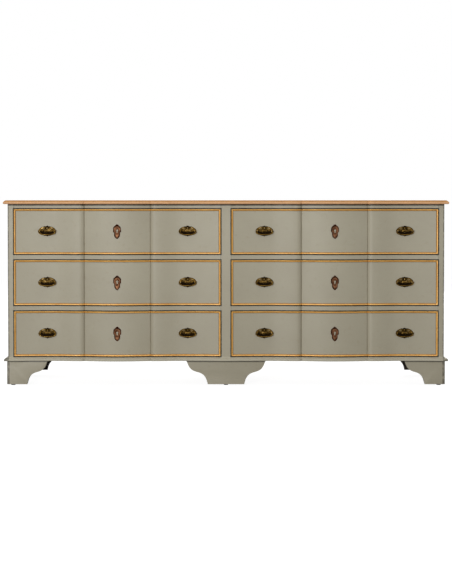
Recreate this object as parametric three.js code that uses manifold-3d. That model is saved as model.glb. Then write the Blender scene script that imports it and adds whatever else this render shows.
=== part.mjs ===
// Painted commode chest: two banks of three drawers behind a crossbow front, on bracket feet.
// Millimetres, +Z up, front towards -Y, origin on the floor under the middle of the top board.

import * as THREE from 'three';
import { mergeVertices } from 'three/addons/utils/BufferGeometryUtils.js';
import Module from 'manifold-3d';

const wasm = await Module();
wasm.setup();

// Heights, from the floor up
const glideHeight = 5.5;
const footHeight = 106;
const baseRailHeight = 20;
const openingHeight = 205;
const railHeight = 25;
const topRailHeight = 21;
const topThickness = 17;
const rowNames = ['bottom', 'middle', 'top'];

// Widths across the front
const openingWidth = 931.5;
const sideStileWidth = 26.5;
const centreStileWidth = 46;
const topOverhang = 19;

// Depths, measured from the hollow of the front
const caseDepth = 464;
const rearOverhang = 10;
const frameThickness = 24;

// Crossbow line of one bank: how far each part of it stands forward of the hollow
const bulgeRise = 27;
const creaseRise = 5;
const crestRise = 13;
const endRise = 13;
const bulgeWidth = 297;
const rollRun = 18;
const fallRun = 122;
const bulgeSteps = 6;
const rollSteps = 2;
const fallSteps = 3;
const endSteps = 3;

// Boards of the carcase
const sideThickness = 18;
const backThickness = 8;
const partitionThickness = 20;
const webThickness = 20;
const webRailDepth = 60;
const runnerWidth = 40;
const guideHeight = 12;

// Moulded edge of the top board
const noseRound = 3;
const noseHeight = 8;
const topEdgeRun = 9;
const topEdgeSteps = 3;

// Base moulding
const baseProjection = 17;
const baseToeRound = 2.5;
const baseFilletTop = 8;
const baseShoulder = 3;

// Feet and glides
const footProud = 6;
const footForward = 8;
const footThickness = 24;
const cornerFootTop = 184;
const cornerFootFloor = 90;
const centreFootTop = 360;
const centreFootFloor = 164;
const rearCentreFootTop = 220;
const rearCentreFootFloor = 120;
const footBlock = 36;
const glideRadius = 10;
const glideInset = 25;
const glideSides = 12;
const braceWidth = 142;
const braceDepth = 90;
const braceThickness = 18;

// Drawers
const drawerGap = 2;
const beadWidth = 8;
const beadLip = 3.5;
const beadProud = 4.5;
const boxSideHeight = 172;
const boxSideThickness = 12;
const boxBottomThickness = 6;
const boxBottomRaise = 9;
const boxRearClearance = 17;

// Handles: stamped plate, two posts with nuts inside the drawer, and the bail
const handleSpacing = 632;
const handleRise = 2.5;
const plateWidth = 72;
const plateHeight = 44;
const plateThickness = 1.6;
const plateRimRise = 1.4;
const plateRimWidth = 4.5;
const plateSides = 16;
const nubWidth = 9;
const nubTipWidth = 3;
const nubRise = 2.8;
const bossWidth = 30;
const bossHeight = 15;
const bossRise = 4;
const postSpacing = 65;
const collarRadius = 4.6;
const collarHeight = 3.4;
const neckRadius = 2.5;
const headRadius = 3.4;
const pivotStandoff = 8.5;
const shankRadius = 2;
const nutRadius = 4.2;
const nutThickness = 3;
const bailRadius = 2.1;
const bailDrop = 16.5;
const bailSteps = 12;
const bailSides = 6;
const earRadius = 3.4;
const pinRadius = 1.5;
const pinSeat = 2.6;
const postSides = 6;
const boltSides = 6;

// Escutcheons
const escutcheonWidth = 35.6;
const escutcheonHeight = 67;
const escutcheonThickness = 1.6;
const keyholeRadius = 4.4;
const keyholeDrop = 13;
const keyholeFootWidth = 5.4;
const keyholeRise = 6;
const keyholeSides = 8;

// Clearances
const fitGap = 0.3;
const runningGap = 0.3;
const cutOverrun = 5;

// Foot bracket from the floor up, as shares of its spread and its height
const footCurveShares = [
  [0, 0], [0.034, 0.11], [0.064, 0.2], [0.108, 0.285], [0.172, 0.366], [0.25, 0.43], [0.387, 0.492],
  [0.557, 0.538], [0.69, 0.588], [0.795, 0.662], [0.87, 0.755], [0.925, 0.86], [0.955, 0.94], [1, 1],
];
// Free end of a rear brace from its lower edge up, as shares of its width and depth
const braceEndShares = [
  [0.746, 0], [0.76, 0.12], [0.785, 0.24], [0.82, 0.34], [0.87, 0.44], [0.94, 0.58], [0.985, 0.8], [1, 1],
];
// Upper face of the base moulding from the fillet to the shoulder, as shares of its run and height
const baseCurveShares = [[0, 0], [0.4, 0.32], [0.85, 0.7], [1, 1]];
// Right half of an escutcheon from the top tip down, as shares of half its width and height
const escutcheonShares = [
  [0.2, 0.96], [0.48, 0.81], [0.76, 0.69], [0.98, 0.5], [1, 0.08], [0.97, -0.07],
  [0.75, -0.11], [0.72, -0.53], [0.65, -0.67], [0.3, -0.88],
];
// Half section of a handle plate's boss from its middle round to its top, as shares of its reach and rise
const bossShares = [[0, 0], [1, 0], [0.8, 0.7], [0, 1]];
// How square the bail hangs: below one, its lower bar runs flatter than an ellipse
const bailSquareShare = 0.62;
const bailArmShare = 0.8;

// Places that follow from the sizes
const footTop = glideHeight + footHeight;
const caseBottom = footTop;
const firstOpening = caseBottom + baseRailHeight;
const rowPitch = openingHeight + railHeight;
const openingBottoms = rowNames.map((_, row) => firstOpening + row * rowPitch);
const caseTop = openingBottoms[rowNames.length - 1] + openingHeight + topRailHeight;
const caseWidth = 2 * openingWidth + 2 * sideStileWidth + centreStileWidth;
const halfCase = caseWidth / 2;
const halfOpening = openingWidth / 2;
const bankCentre = centreStileWidth / 2 + halfOpening;
const halfBulge = bulgeWidth / 2;
const lobeRun = halfOpening - halfBulge;
const mostForward = Math.max(bulgeRise, crestRise, endRise);
const topDepth = rearOverhang + caseDepth + mostForward + topOverhang;
const topBackY = topDepth / 2;
const caseBackY = topBackY - rearOverhang;
const hollowY = caseBackY - caseDepth;
const frameBackY = hollowY + frameThickness;
const backFrontY = caseBackY - backThickness;
const insideX = halfCase - sideThickness;
const halfPartition = partitionThickness / 2;
const footX = halfCase + footProud;
const footFrontY = hollowY - footForward;
const frontHalf = halfOpening - drawerGap;
const frontHeight = openingHeight - 2 * drawerGap;
const boxDepth = backFrontY - boxRearClearance - frameBackY;

// Finishes
const paint = { color: '#a59e8c', roughness: 0.55, metalness: 0 };
const oak = { color: '#c99870', roughness: 0.5, metalness: 0 };
const innerWood = { color: '#c6a77c', roughness: 0.7, metalness: 0 };
const darkWood = { color: '#1b1511', roughness: 0.6, metalness: 0 };
const brass = { color: '#8b6d30', roughness: 0.35, metalness: 0.9 };
const copper = { color: '#7c5137', roughness: 0.45, metalness: 0.85 };

// Closed solid of a geometry: shared points merged, slivers dropped, faces turned outwards
function solid(geometry) {
  const bare = new THREE.BufferGeometry();
  bare.setAttribute('position', geometry.getAttribute('position').clone());
  if (geometry.index) bare.setIndex(geometry.index.clone());
  const merged = mergeVertices(bare);
  const places = merged.getAttribute('position').array;
  const corners = merged.index.array;
  const faces = [];
  let volume = 0;
  const [a, b, c] = [new THREE.Vector3(), new THREE.Vector3(), new THREE.Vector3()];
  for (let i = 0; i < corners.length; i += 3) {
    const [p, q, r] = [corners[i], corners[i + 1], corners[i + 2]];
    if (p === q || q === r || r === p) continue;
    faces.push([p, q, r]);
    a.fromArray(places, 3 * p);
    b.fromArray(places, 3 * q);
    c.fromArray(places, 3 * r);
    volume += a.dot(b.cross(c));
  }
  const outward = volume < 0 ? faces.map(([p, q, r]) => [p, r, q]) : faces;
  return new wasm.Manifold(new wasm.Mesh({
    numProp: 3,
    vertProperties: new Float32Array(places),
    triVerts: new Uint32Array(outward.flat()),
  }));
}

function joined(first, ...others) {
  return others.reduce((whole, piece) => whole.add(piece), first);
}

function cut(first, ...others) {
  return others.reduce((whole, piece) => whole.subtract(piece), first);
}

function geometryOf(piece) {
  const mesh = piece.getMesh();
  const geometry = new THREE.BufferGeometry();
  geometry.setAttribute('position', new THREE.BufferAttribute(new Float32Array(mesh.vertProperties), 3));
  geometry.setIndex(new THREE.BufferAttribute(new Uint32Array(mesh.triVerts), 1));
  geometry.computeVertexNormals();
  return geometry;
}

function block([x0, x1], [y0, y1], [z0, z1]) {
  const geometry = new THREE.BoxGeometry(x1 - x0, y1 - y0, z1 - z0);
  geometry.translate((x0 + x1) / 2, (y0 + y1) / 2, (z0 + z1) / 2);
  return solid(geometry);
}

// Prism of an outline: the outline lies across the named axis, and the prism runs along it
function prism(outline, holes, length, across, up, along, start) {
  const shape = new THREE.Shape(outline.map(([x, y]) => new THREE.Vector2(x, y)));
  shape.holes = holes.map((hole) => new THREE.Path(hole.map(([x, y]) => new THREE.Vector2(x, y))));
  const geometry = new THREE.ExtrudeGeometry(shape, { depth: length, bevelEnabled: false });
  geometry.applyMatrix4(new THREE.Matrix4().makeBasis(across, up, along).setPosition(start));
  return solid(geometry);
}

const xAxis = new THREE.Vector3(1, 0, 0);
const yAxis = new THREE.Vector3(0, 1, 0);
const zAxis = new THREE.Vector3(0, 0, 1);
const forwardAxis = new THREE.Vector3(0, -1, 0);

function prismX(outline, [x0, x1], holes = []) {
  return prism(outline, holes, x1 - x0, yAxis, zAxis, xAxis, new THREE.Vector3(x0, 0, 0));
}

function prismY(outline, [y0, y1], holes = []) {
  return prism(outline, holes, y1 - y0, xAxis, zAxis, forwardAxis, new THREE.Vector3(0, y1, 0));
}

function prismZ(outline, [z0, z1], holes = []) {
  return prism(outline, holes, z1 - z0, xAxis, yAxis, zAxis, new THREE.Vector3(0, 0, z0));
}

// Regular polygon whose corners lie on an oval about a centre
function oval(radiusX, radiusY, sides, [x, y] = [0, 0]) {
  return steps(0, 2 * Math.PI, sides).slice(0, sides)
    .map((turn) => [x + radiusX * Math.cos(turn), y + radiusY * Math.sin(turn)]);
}

function steps(from, to, count) {
  return Array.from({ length: count + 1 }, (_, i) => from + ((to - from) * i) / count);
}

// Skin over a run of rings with equal point counts, with faces over its first and last ring
function skin(rings, capFaces) {
  const count = rings[0].length;
  const places = rings.flat(2);
  const faces = [];
  for (let ring = 0; ring + 1 < rings.length; ring += 1) {
    for (let i = 0; i < count; i += 1) {
      const a = ring * count + i;
      const b = ring * count + ((i + 1) % count);
      faces.push(a, b, b + count, a, b + count, a + count);
    }
  }
  const last = (rings.length - 1) * count;
  for (const [p, q, r] of capFaces) {
    faces.push(r, q, p, last + p, last + q, last + r);
  }
  const geometry = new THREE.BufferGeometry();
  geometry.setAttribute('position', new THREE.BufferAttribute(new Float32Array(places), 3));
  geometry.setIndex(faces);
  return solid(geometry);
}

function fanFaces(count) {
  return Array.from({ length: count - 2 }, (_, i) => [0, i + 1, i + 2]);
}

// How far the front stands forward of the hollow, at a distance from the bank's middle line
function frontRise(offset) {
  const run = Math.abs(offset);
  if (run <= halfBulge) return bulgeRise - (bulgeRise - creaseRise) * (run / halfBulge) ** 2;
  const out = run - halfBulge;
  const roll = (Math.PI * out) / (2 * rollRun);
  if (out <= rollRun) return creaseRise + (crestRise - creaseRise) * Math.sin(roll);
  const fall = (Math.PI * (out - rollRun)) / fallRun;
  if (out <= rollRun + fallRun) return (crestRise * (1 + Math.cos(fall))) / 2;
  return endRise * ((out - rollRun - fallRun) / (lobeRun - rollRun - fallRun)) ** 2;
}

// Distances from the bank's middle line at which the crossbow line has its points
function bankStations() {
  const bulge = steps(-halfBulge, halfBulge, bulgeSteps);
  const roll = steps(0, rollRun, rollSteps);
  const fall = steps(rollRun, rollRun + fallRun, fallSteps);
  const end = steps(rollRun + fallRun, lobeRun, endSteps);
  const right = [...roll.slice(1), ...fall.slice(1), ...end.slice(1)].map((out) => halfBulge + out);
  const left = right.map((offset) => -offset).reverse();
  return [...left, ...bulge, ...right];
}

// Rise of the faceted front under a piece that reaches from one distance to another
function seatRise(from, to) {
  const stations = bankStations();
  const ends = [from, to].map((offset) => {
    const next = stations.findIndex((station) => station > offset);
    const [a, b] = [stations[next - 1], stations[next]];
    return frontRise(a) + ((frontRise(b) - frontRise(a)) * (offset - a)) / (b - a);
  });
  return Math.max(...ends, ...stations.filter((station) => station > from && station < to).map(frontRise));
}

// Plan of the whole front from left to right, moved forward and widened by an overhang
function frontLine(overhang) {
  const banks = [-bankCentre, bankCentre].flatMap((centre) => (
    bankStations().map((offset) => [centre + offset, hollowY - frontRise(offset) - overhang])
  ));
  const endY = hollowY - endRise - overhang;
  return [[-halfCase - overhang, endY], ...banks, [halfCase + overhang, endY]];
}

function faceFrame() {
  const plan = [...frontLine(0), [halfCase, frameBackY], [-halfCase, frameBackY]];
  const openings = [-bankCentre, bankCentre].flatMap((centre) => openingBottoms.map((bottom) => block(
    [centre - halfOpening, centre + halfOpening],
    [hollowY - mostForward - cutOverrun, frameBackY + cutOverrun],
    [bottom, bottom + openingHeight],
  )));
  return cut(prismZ(plan, [caseBottom, caseTop]), ...openings);
}

// Top board: plan outlines stacked along the moulded edge, square at the back
function topBoard() {
  const rounding = steps(0, Math.PI / 2, topEdgeSteps).map((turn) => [
    topEdgeRun * (1 - Math.cos(turn)),
    noseHeight + (topThickness - noseHeight) * Math.sin(turn),
  ]);
  const profile = [[noseRound, 0], [0, noseRound], ...rounding];
  const rings = profile.map(([inset, rise]) => {
    const front = frontLine(topOverhang - inset);
    const half = halfCase + topOverhang - inset;
    return [...front, [half, topBackY], [-half, topBackY]].map(([x, y]) => [x, y, caseTop + rise]);
  });
  const plan = rings[0].map(([x, y]) => new THREE.Vector2(x, y));
  return skin(rings, THREE.ShapeUtils.triangulateShape(plan, []));
}

// Base moulding: one section swept along the left side, the crossbow front and the right side
function baseMoulding() {
  const curve = baseCurveShares.map(([run, rise]) => [
    baseProjection - (baseProjection - baseShoulder) * run,
    baseFilletTop + (baseRailHeight - baseFilletTop) * rise,
  ]);
  const section = [[fitGap, 0], [baseProjection - baseToeRound, 0], [baseProjection, baseToeRound],
    ...curve, [fitGap, baseRailHeight]];
  const front = frontLine(0);
  const [first, last] = [front[0], front[front.length - 1]];
  const path = [
    { x: first[0], y: caseBackY, out: -1, forward: 0 },
    { x: first[0], y: first[1], out: -1, forward: 1 },
    ...front.slice(1, -1).map(([x, y]) => ({ x, y, out: 0, forward: 1 })),
    { x: last[0], y: last[1], out: 1, forward: 1 },
    { x: last[0], y: caseBackY, out: 1, forward: 0 },
  ];
  const rings = path.map(({ x, y, out, forward }) => (
    section.map(([run, rise]) => [x + out * run, y - forward * run, caseBottom + rise])
  ));
  return skin(rings, fanFaces(section.length));
}

function sideBoard(side) {
  const faces = [side * insideX, side * halfCase].sort((a, b) => a - b);
  return block(faces, [frameBackY, caseBackY], [caseBottom, caseTop]);
}

function backPanel() {
  return block([-insideX, insideX], [backFrontY, caseBackY], [caseBottom, caseTop]);
}

// Guides beside the runners keep the drawers in line with their openings
function drawerGuides(top) {
  const reach = [frameBackY + webRailDepth, backFrontY - webRailDepth];
  const rise = [top - guideHeight, top + guideHeight];
  const outer = halfCase - sideStileWidth;
  return [
    block([-insideX, -outer], reach, rise), block([outer, insideX], reach, rise),
    block([-centreStileWidth / 2, -halfPartition], reach, rise),
    block([halfPartition, centreStileWidth / 2], reach, rise),
  ];
}

// Frame under a row of drawers: front and rear rails, four runners with their guides
function webFrame(top) {
  const thickness = [top - webThickness, top];
  const opened = [frameBackY + webRailDepth, backFrontY - webRailDepth];
  const windowNear = halfPartition + runnerWidth;
  const windowFar = insideX - runnerWidth;
  const through = [top - webThickness - cutOverrun, top + cutOverrun];
  const frame = cut(
    block([-insideX, insideX], [frameBackY, backFrontY], thickness),
    block([-windowFar, -windowNear], opened, through),
    block([windowNear, windowFar], opened, through),
    block([-halfPartition, halfPartition], opened, through),
  );
  return joined(frame, ...drawerGuides(top));
}

function bottomBoard() {
  const board = block([-insideX, insideX], [frameBackY, backFrontY], [caseBottom, firstOpening]);
  return joined(board, ...drawerGuides(firstOpening));
}

// Upright between the banks, halved over the front and rear rails of each web frame
function centrePartition() {
  const upright = block([-halfPartition, halfPartition], [frameBackY, backFrontY], [firstOpening, caseTop]);
  const width = [-halfPartition - cutOverrun, halfPartition + cutOverrun];
  const notches = openingBottoms.slice(1).flatMap((top) => [
    block(width, [frameBackY - cutOverrun, frameBackY + webRailDepth], [top - webThickness, top]),
    block(width, [backFrontY - webRailDepth, backFrontY + cutOverrun], [top - webThickness, top]),
  ]);
  return cut(upright, ...notches);
}

// Bracket outline from its outer edge, with the cut-out curve on its free side
function bracket(floorRun, topRun) {
  const curve = footCurveShares.map(([run, rise]) => [
    floorRun + (topRun - floorRun) * run,
    glideHeight + footHeight * rise,
  ]);
  return [[0, glideHeight], ...curve, [0, footTop]];
}

function mirroredBracket(floorWidth, topWidth) {
  const half = bracket(floorWidth / 2, topWidth / 2).slice(1, -1);
  const left = half.map(([x, z]) => [-x, z]).reverse();
  return [...half, ...left];
}

function glide(x, y) {
  return prismZ(oval(glideRadius, glideRadius, glideSides, [x, y]), [0, glideHeight + glideRadius / 2]);
}

// Front corner foot: two mitred brackets, the block behind the mitre and the glide under it
function frontCornerFoot(side) {
  const outline = bracket(cornerFootFloor, cornerFootTop);
  const thickness = [footFrontY, footFrontY + footThickness];
  const front = prismY(outline.map(([run, z]) => [side * (footX - run), z]), thickness);
  const sideX = [side * (footX - footThickness), side * footX].sort((a, b) => a - b);
  const back = prismX(outline.map(([run, z]) => [footFrontY + run, z]), sideX);
  const innerX = footX - footThickness;
  const corner = block(
    [side * (innerX - footBlock), side * innerX].sort((a, b) => a - b),
    [footFrontY + footThickness, footFrontY + footThickness + footBlock],
    [glideHeight, footTop],
  );
  return joined(front, back, corner, glide(side * (footX - glideInset), footFrontY + glideInset));
}

function frontCentreFoot() {
  const outline = mirroredBracket(centreFootFloor, centreFootTop);
  const board = prismY(outline, [footFrontY, footFrontY + footThickness]);
  const behind = [footFrontY + footThickness, footFrontY + footThickness + footBlock];
  const support = block([-footBlock, footBlock], behind, [glideHeight, footTop]);
  return joined(board, support, glide(0, footFrontY + glideInset));
}

function rearCornerFoot(side) {
  const outline = bracket(cornerFootFloor, cornerFootTop).map(([run, z]) => [caseBackY - run, z]);
  const sideX = [side * (footX - footThickness), side * footX].sort((a, b) => a - b);
  return joined(prismX(outline, sideX), glide(side * (footX - footThickness / 2), caseBackY - glideInset));
}

function rearCentreFoot() {
  const outline = mirroredBracket(rearCentreFootFloor, rearCentreFootTop);
  const board = prismY(outline, [caseBackY - footThickness, caseBackY]);
  return joined(board, glide(0, caseBackY - footThickness / 2));
}

// Brace along the back edge, from the rear foot towards the middle
function rearBrace(side) {
  const start = footX - footThickness;
  const end = braceEndShares.map(([run, rise]) => [
    side * (start - braceWidth * run),
    footTop - braceDepth * (1 - rise),
  ]);
  const outline = [[side * start, footTop - braceDepth], ...end, [side * start, footTop]];
  return prismY(outline, [caseBackY - braceThickness, caseBackY]);
}

// Height of the bead on a drawer front, at a distance in from the board's edge
function beadRise(inward) {
  if (inward <= beadLip) return beadProud;
  return inward < beadWidth ? (beadProud * (beadWidth - inward)) / (beadWidth - beadLip) : 0;
}

// Drawer front: flat behind, crossbow in front, with a bead worked round its edge
function drawerFront() {
  const field = bankStations().filter((offset) => Math.abs(offset) < frontHalf - beadWidth);
  const edge = [0, beadLip, beadWidth];
  const left = edge.map((inward) => inward - frontHalf);
  const right = edge.map((inward) => frontHalf - inward).reverse();
  const heights = [...edge, ...edge.map((inward) => frontHeight - inward).reverse()];
  const rings = [...left, ...field, ...right].map((offset) => {
    const fromEnd = beadRise(frontHalf - Math.abs(offset));
    const front = heights.map((z) => {
      const rise = Math.max(fromEnd, beadRise(Math.min(z, frontHeight - z)));
      return [offset, hollowY - frontRise(offset) - rise, z];
    });
    return [[offset, frameBackY, 0], ...front, [offset, frameBackY, frontHeight]];
  });
  const boltHoles = handleOffsets().flatMap((offset) => [-1, 1].map((side) => prismY(
    oval(shankRadius + fitGap, shankRadius + fitGap, boltSides,
      [offset + (side * postSpacing) / 2, frontHeight / 2 + handleRise]),
    [hollowY - mostForward - cutOverrun, frameBackY + cutOverrun],
  )));
  return cut(skin(rings, fanFaces(heights.length + 2)), ...boltHoles);
}

function handleOffsets() {
  return [-handleSpacing / 2, handleSpacing / 2];
}

// Drawer box: two sides, a back, and a bottom raised in its grooves
function drawerBox() {
  const rear = frameBackY + boxDepth;
  const inner = frontHalf - boxSideThickness;
  const floor = boxBottomRaise + boxBottomThickness;
  const whole = block([-frontHalf, frontHalf], [frameBackY, rear], [0, boxSideHeight]);
  const inside = block(
    [-inner, inner],
    [frameBackY - cutOverrun, rear - boxSideThickness],
    [floor, boxSideHeight + cutOverrun],
  );
  const under = block(
    [-inner, inner],
    [frameBackY - cutOverrun, rear - boxSideThickness],
    [-cutOverrun, boxBottomRaise],
  );
  return cut(whole, inside, under);
}

function escutcheon() {
  const halfWidth = escutcheonWidth / 2;
  const halfHeight = escutcheonHeight / 2;
  const right = escutcheonShares.map(([x, z]) => [halfWidth * x, halfHeight * z]);
  const left = right.map(([x, z]) => [-x, z]).reverse();
  const outline = [[0, halfHeight], ...right, [0, -halfHeight], ...left];
  const half = keyholeFootWidth / 2;
  const round = steps(-Math.PI / 4, (5 * Math.PI) / 4, keyholeSides)
    .map((turn) => [keyholeRadius * Math.cos(turn), keyholeRise + keyholeRadius * Math.sin(turn)]);
  const keyhole = [...round, [-half, keyholeRise - keyholeDrop], [half, keyholeRise - keyholeDrop]];
  return prismY(outline, [-escutcheonThickness, 0], [keyhole]);
}

// Outline of the handle plate, or of the dish inside its rim
function plateOutline(inset) {
  const [halfWidth, halfHeight] = [plateWidth / 2 - inset, plateHeight / 2 - inset];
  return oval(halfWidth, halfHeight, plateSides);
}

// Small nub above or below the handle plate's oval
function nub(side) {
  const tip = side * (plateHeight / 2 + nubRise);
  const root = side * (plateHeight / 2 - plateRimWidth / 2);
  const [foot, point] = [nubWidth / 2, nubTipWidth / 2];
  const outline = [[-foot, root], [foot, root], [point, tip], [-point, tip]];
  return prismY(outline, [-plateThickness, 0]);
}

// Post with its collar, neck and head, and the shank and nut behind the drawer front
function post(x, seat) {
  const head = pivotStandoff + headRadius;
  const profile = [
    [0, 0], [collarRadius, 0], [collarRadius, -collarHeight], [neckRadius, -collarHeight - neckRadius / 2],
    [headRadius, -pivotStandoff + headRadius / 2], [headRadius, -pivotStandoff - headRadius / 2], [0, -head],
  ].map(([radius, y]) => new THREE.Vector2(radius, y));
  const turned = solid(new THREE.LatheGeometry(profile, postSides).translate(x, 0, 0));
  const round = oval(shankRadius, shankRadius, boltSides, [x, 0]);
  const shank = prismY(round, [-plateThickness, seat + nutThickness]);
  const nut = prismY(oval(nutRadius, nutRadius, boltSides, [x, 0]), [seat, seat + nutThickness]);
  return joined(turned, shank, nut);
}

function pinHole(side) {
  const reach = side * (postSpacing / 2 + headRadius + cutOverrun);
  const end = side * (postSpacing / 2 + headRadius - pinSeat - fitGap);
  const hole = oval(pinRadius + fitGap, pinRadius + fitGap, boltSides, [-pivotStandoff, 0]);
  return prismX(hole, [end, reach].sort((a, b) => a - b));
}

// Handle plate: dished inside its raised rim, with a low oval boss and the two posts
function handlePlate(seat) {
  const rimTop = plateThickness + plateRimRise;
  const raised = prismY(plateOutline(0), [-rimTop, 0]);
  const dish = prismY(plateOutline(plateRimWidth), [-rimTop - cutOverrun, -plateThickness]);
  const dome = bossShares.map(([run, rise]) => (
    new THREE.Vector2(run, -plateThickness / 2 - bossRise * rise)
  ));
  const boss = new THREE.LatheGeometry(dome, postSides).scale(bossWidth / 2, 1, bossHeight / 2);
  const posts = [-1, 1].map((side) => post((side * postSpacing) / 2, seat));
  const whole = joined(cut(raised, dish), nub(-1), nub(1), solid(boss), ...posts);
  return cut(whole, pinHole(-1), pinHole(1));
}

// Bail about its pivot line: a drooping bar between two ears, each with a pin into its post
function bail() {
  const armX = postSpacing / 2 + headRadius + fitGap + bailRadius;
  const bend = (value, share) => Math.sign(value) * Math.abs(value) ** share;
  const points = steps(0, Math.PI, bailSteps).map((turn) => new THREE.Vector3(
    armX * bend(Math.cos(turn), bailArmShare),
    0,
    -bailDrop * Math.abs(Math.sin(turn)) ** bailSquareShare,
  ));
  const path = new THREE.CatmullRomCurve3(points);
  const round = oval(bailRadius, bailRadius, bailSides);
  const section = new THREE.Shape(round.map(([x, y]) => new THREE.Vector2(x, y)));
  const bar = solid(new THREE.ExtrudeGeometry(section, { steps: bailSteps, extrudePath: path }));
  const ends = [-1, 1].flatMap((side) => {
    const ear = [side * (armX - bailRadius), side * (armX + bailRadius)].sort((a, b) => a - b);
    const tip = side * (postSpacing / 2 + headRadius - pinSeat);
    const pin = [tip, side * armX].sort((a, b) => a - b);
    return [
      prismX(oval(earRadius, earRadius, postSides), ear),
      prismX(oval(pinRadius, pinRadius, boltSides), pin),
    ];
  });
  return joined(bar, ...ends);
}

const chest = new THREE.Group();

function place(parent, name, geometry, finish, [x, y, z] = [0, 0, 0]) {
  const mesh = new THREE.Mesh(geometry, new THREE.MeshStandardMaterial(finish));
  mesh.name = name;
  mesh.position.set(x, y, z);
  parent.add(mesh);
}

function placeCarcase() {
  place(chest, 'top_board', geometryOf(topBoard()), oak);
  place(chest, 'face_frame', geometryOf(faceFrame()), paint);
  place(chest, 'base_moulding', geometryOf(baseMoulding()), paint);
  place(chest, 'back_panel', geometryOf(backPanel()), innerWood);
  place(chest, 'bottom_board', geometryOf(bottomBoard()), innerWood);
  place(chest, 'centre_partition', geometryOf(centrePartition()), innerWood);
  openingBottoms.slice(1).forEach((top, row) => {
    place(chest, `web_frame_${rowNames[row + 1]}`, geometryOf(webFrame(top)), innerWood);
  });
  place(chest, 'foot_front_centre', geometryOf(frontCentreFoot()), paint);
  place(chest, 'foot_rear_centre', geometryOf(rearCentreFoot()), darkWood);
  for (const [side, hand] of [[-1, 'left'], [1, 'right']]) {
    place(chest, `side_${hand}`, geometryOf(sideBoard(side)), paint);
    place(chest, `foot_front_${hand}`, geometryOf(frontCornerFoot(side)), paint);
    place(chest, `foot_rear_${hand}`, geometryOf(rearCornerFoot(side)), paint);
    place(chest, `rear_brace_${hand}`, geometryOf(rearBrace(side)), darkWood);
  }
}

function placeDrawers() {
  const front = geometryOf(drawerFront());
  const box = geometryOf(drawerBox());
  const keyPlate = geometryOf(escutcheon());
  const [plateStart, plateEnd] = [-1, 1].map((side) => (handleSpacing + side * plateWidth) / 2);
  const handleY = hollowY - seatRise(plateStart, plateEnd) - fitGap;
  const escutcheonY = hollowY - seatRise(-escutcheonWidth / 2, escutcheonWidth / 2) - fitGap;
  const plate = geometryOf(handlePlate(frameBackY - handleY + fitGap));
  const swing = geometryOf(bail());
  const middle = drawerGap + frontHeight / 2;
  const handleZ = middle + handleRise;
  openingBottoms.forEach((bottom, row) => {
    for (const [centre, hand] of [[-bankCentre, 'left'], [bankCentre, 'right']]) {
      const name = `drawer_${rowNames[row]}_${hand}`;
      const drawer = new THREE.Group();
      drawer.position.set(centre, 0, bottom);
      chest.add(drawer);
      place(drawer, `${name}_front`, front, paint, [0, 0, drawerGap]);
      place(drawer, `${name}_box`, box, innerWood, [0, 0, runningGap]);
      place(drawer, `${name}_escutcheon`, keyPlate, copper, [0, escutcheonY, middle]);
      handleOffsets().forEach((offset, i) => {
        const end = ['left', 'right'][i];
        place(drawer, `${name}_plate_${end}`, plate, brass, [offset, handleY, handleZ]);
        place(drawer, `${name}_bail_${end}`, swing, brass, [offset, handleY - pivotStandoff, handleZ]);
      });
    }
  });
}

placeCarcase();
placeDrawers();

export default chest;
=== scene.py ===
# Painted commode chest on bracket feet: two banks of three drawers behind a crossbow front.
# Metres, +Z up, front towards -Y, standing on the floor.

import math
import bmesh
import bpy
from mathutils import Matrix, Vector


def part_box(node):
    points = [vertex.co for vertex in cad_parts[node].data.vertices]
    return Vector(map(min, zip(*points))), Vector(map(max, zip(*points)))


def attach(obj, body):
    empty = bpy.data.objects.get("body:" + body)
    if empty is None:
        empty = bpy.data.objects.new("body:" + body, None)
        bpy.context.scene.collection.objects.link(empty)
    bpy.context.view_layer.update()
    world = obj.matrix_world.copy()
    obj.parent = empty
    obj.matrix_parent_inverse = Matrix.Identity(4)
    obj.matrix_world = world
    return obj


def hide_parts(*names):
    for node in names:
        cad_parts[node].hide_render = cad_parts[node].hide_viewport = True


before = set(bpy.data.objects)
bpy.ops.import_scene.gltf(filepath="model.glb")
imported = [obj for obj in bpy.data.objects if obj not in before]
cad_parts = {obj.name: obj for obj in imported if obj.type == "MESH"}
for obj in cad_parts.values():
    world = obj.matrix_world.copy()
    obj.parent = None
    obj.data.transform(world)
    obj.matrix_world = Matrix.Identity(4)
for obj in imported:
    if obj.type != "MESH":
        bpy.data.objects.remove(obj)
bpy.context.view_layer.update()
mm = 0.001


# Places taken from the CAD frame


def spanOf(cadNode, axis):
    low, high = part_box(cadNode)
    return low["xyz".index(axis)], high["xyz".index(axis)]


rowNames = ["bottom", "middle", "top"]
hands = {"left": -1, "right": 1}
caseHalf = spanOf("face_frame", "x")[1]
caseBottom, caseTop = spanOf("face_frame", "z")
faceForward, frameBack = spanOf("face_frame", "y")
mouldingTop = spanOf("base_moulding", "z")[1]
caseBack = spanOf("side_left", "y")[1]
insideX = spanOf("back_panel", "x")[1]
panelFront = spanOf("back_panel", "y")[0]
bankLow, bankHigh = spanOf("drawer_bottom_right_front", "x")
bankCentre = (bankLow + bankHigh) / 2
frontHalf = (bankHigh - bankLow) / 2
drawerGap = 2 * mm
halfOpening = frontHalf + drawerGap
frontSpans = [spanOf(f"drawer_{row}_right_front", "z") for row in rowNames]
openingBottoms = [bottom - drawerGap for bottom, top in frontSpans]
openingHeight = frontSpans[0][1] + drawerGap - openingBottoms[0]
webThickness = 20 * mm
print("frame loaded, case", round(2 * caseHalf, 3), "m wide")

# Crossbow line of one bank, the same on both banks and on every piece of the front

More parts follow.
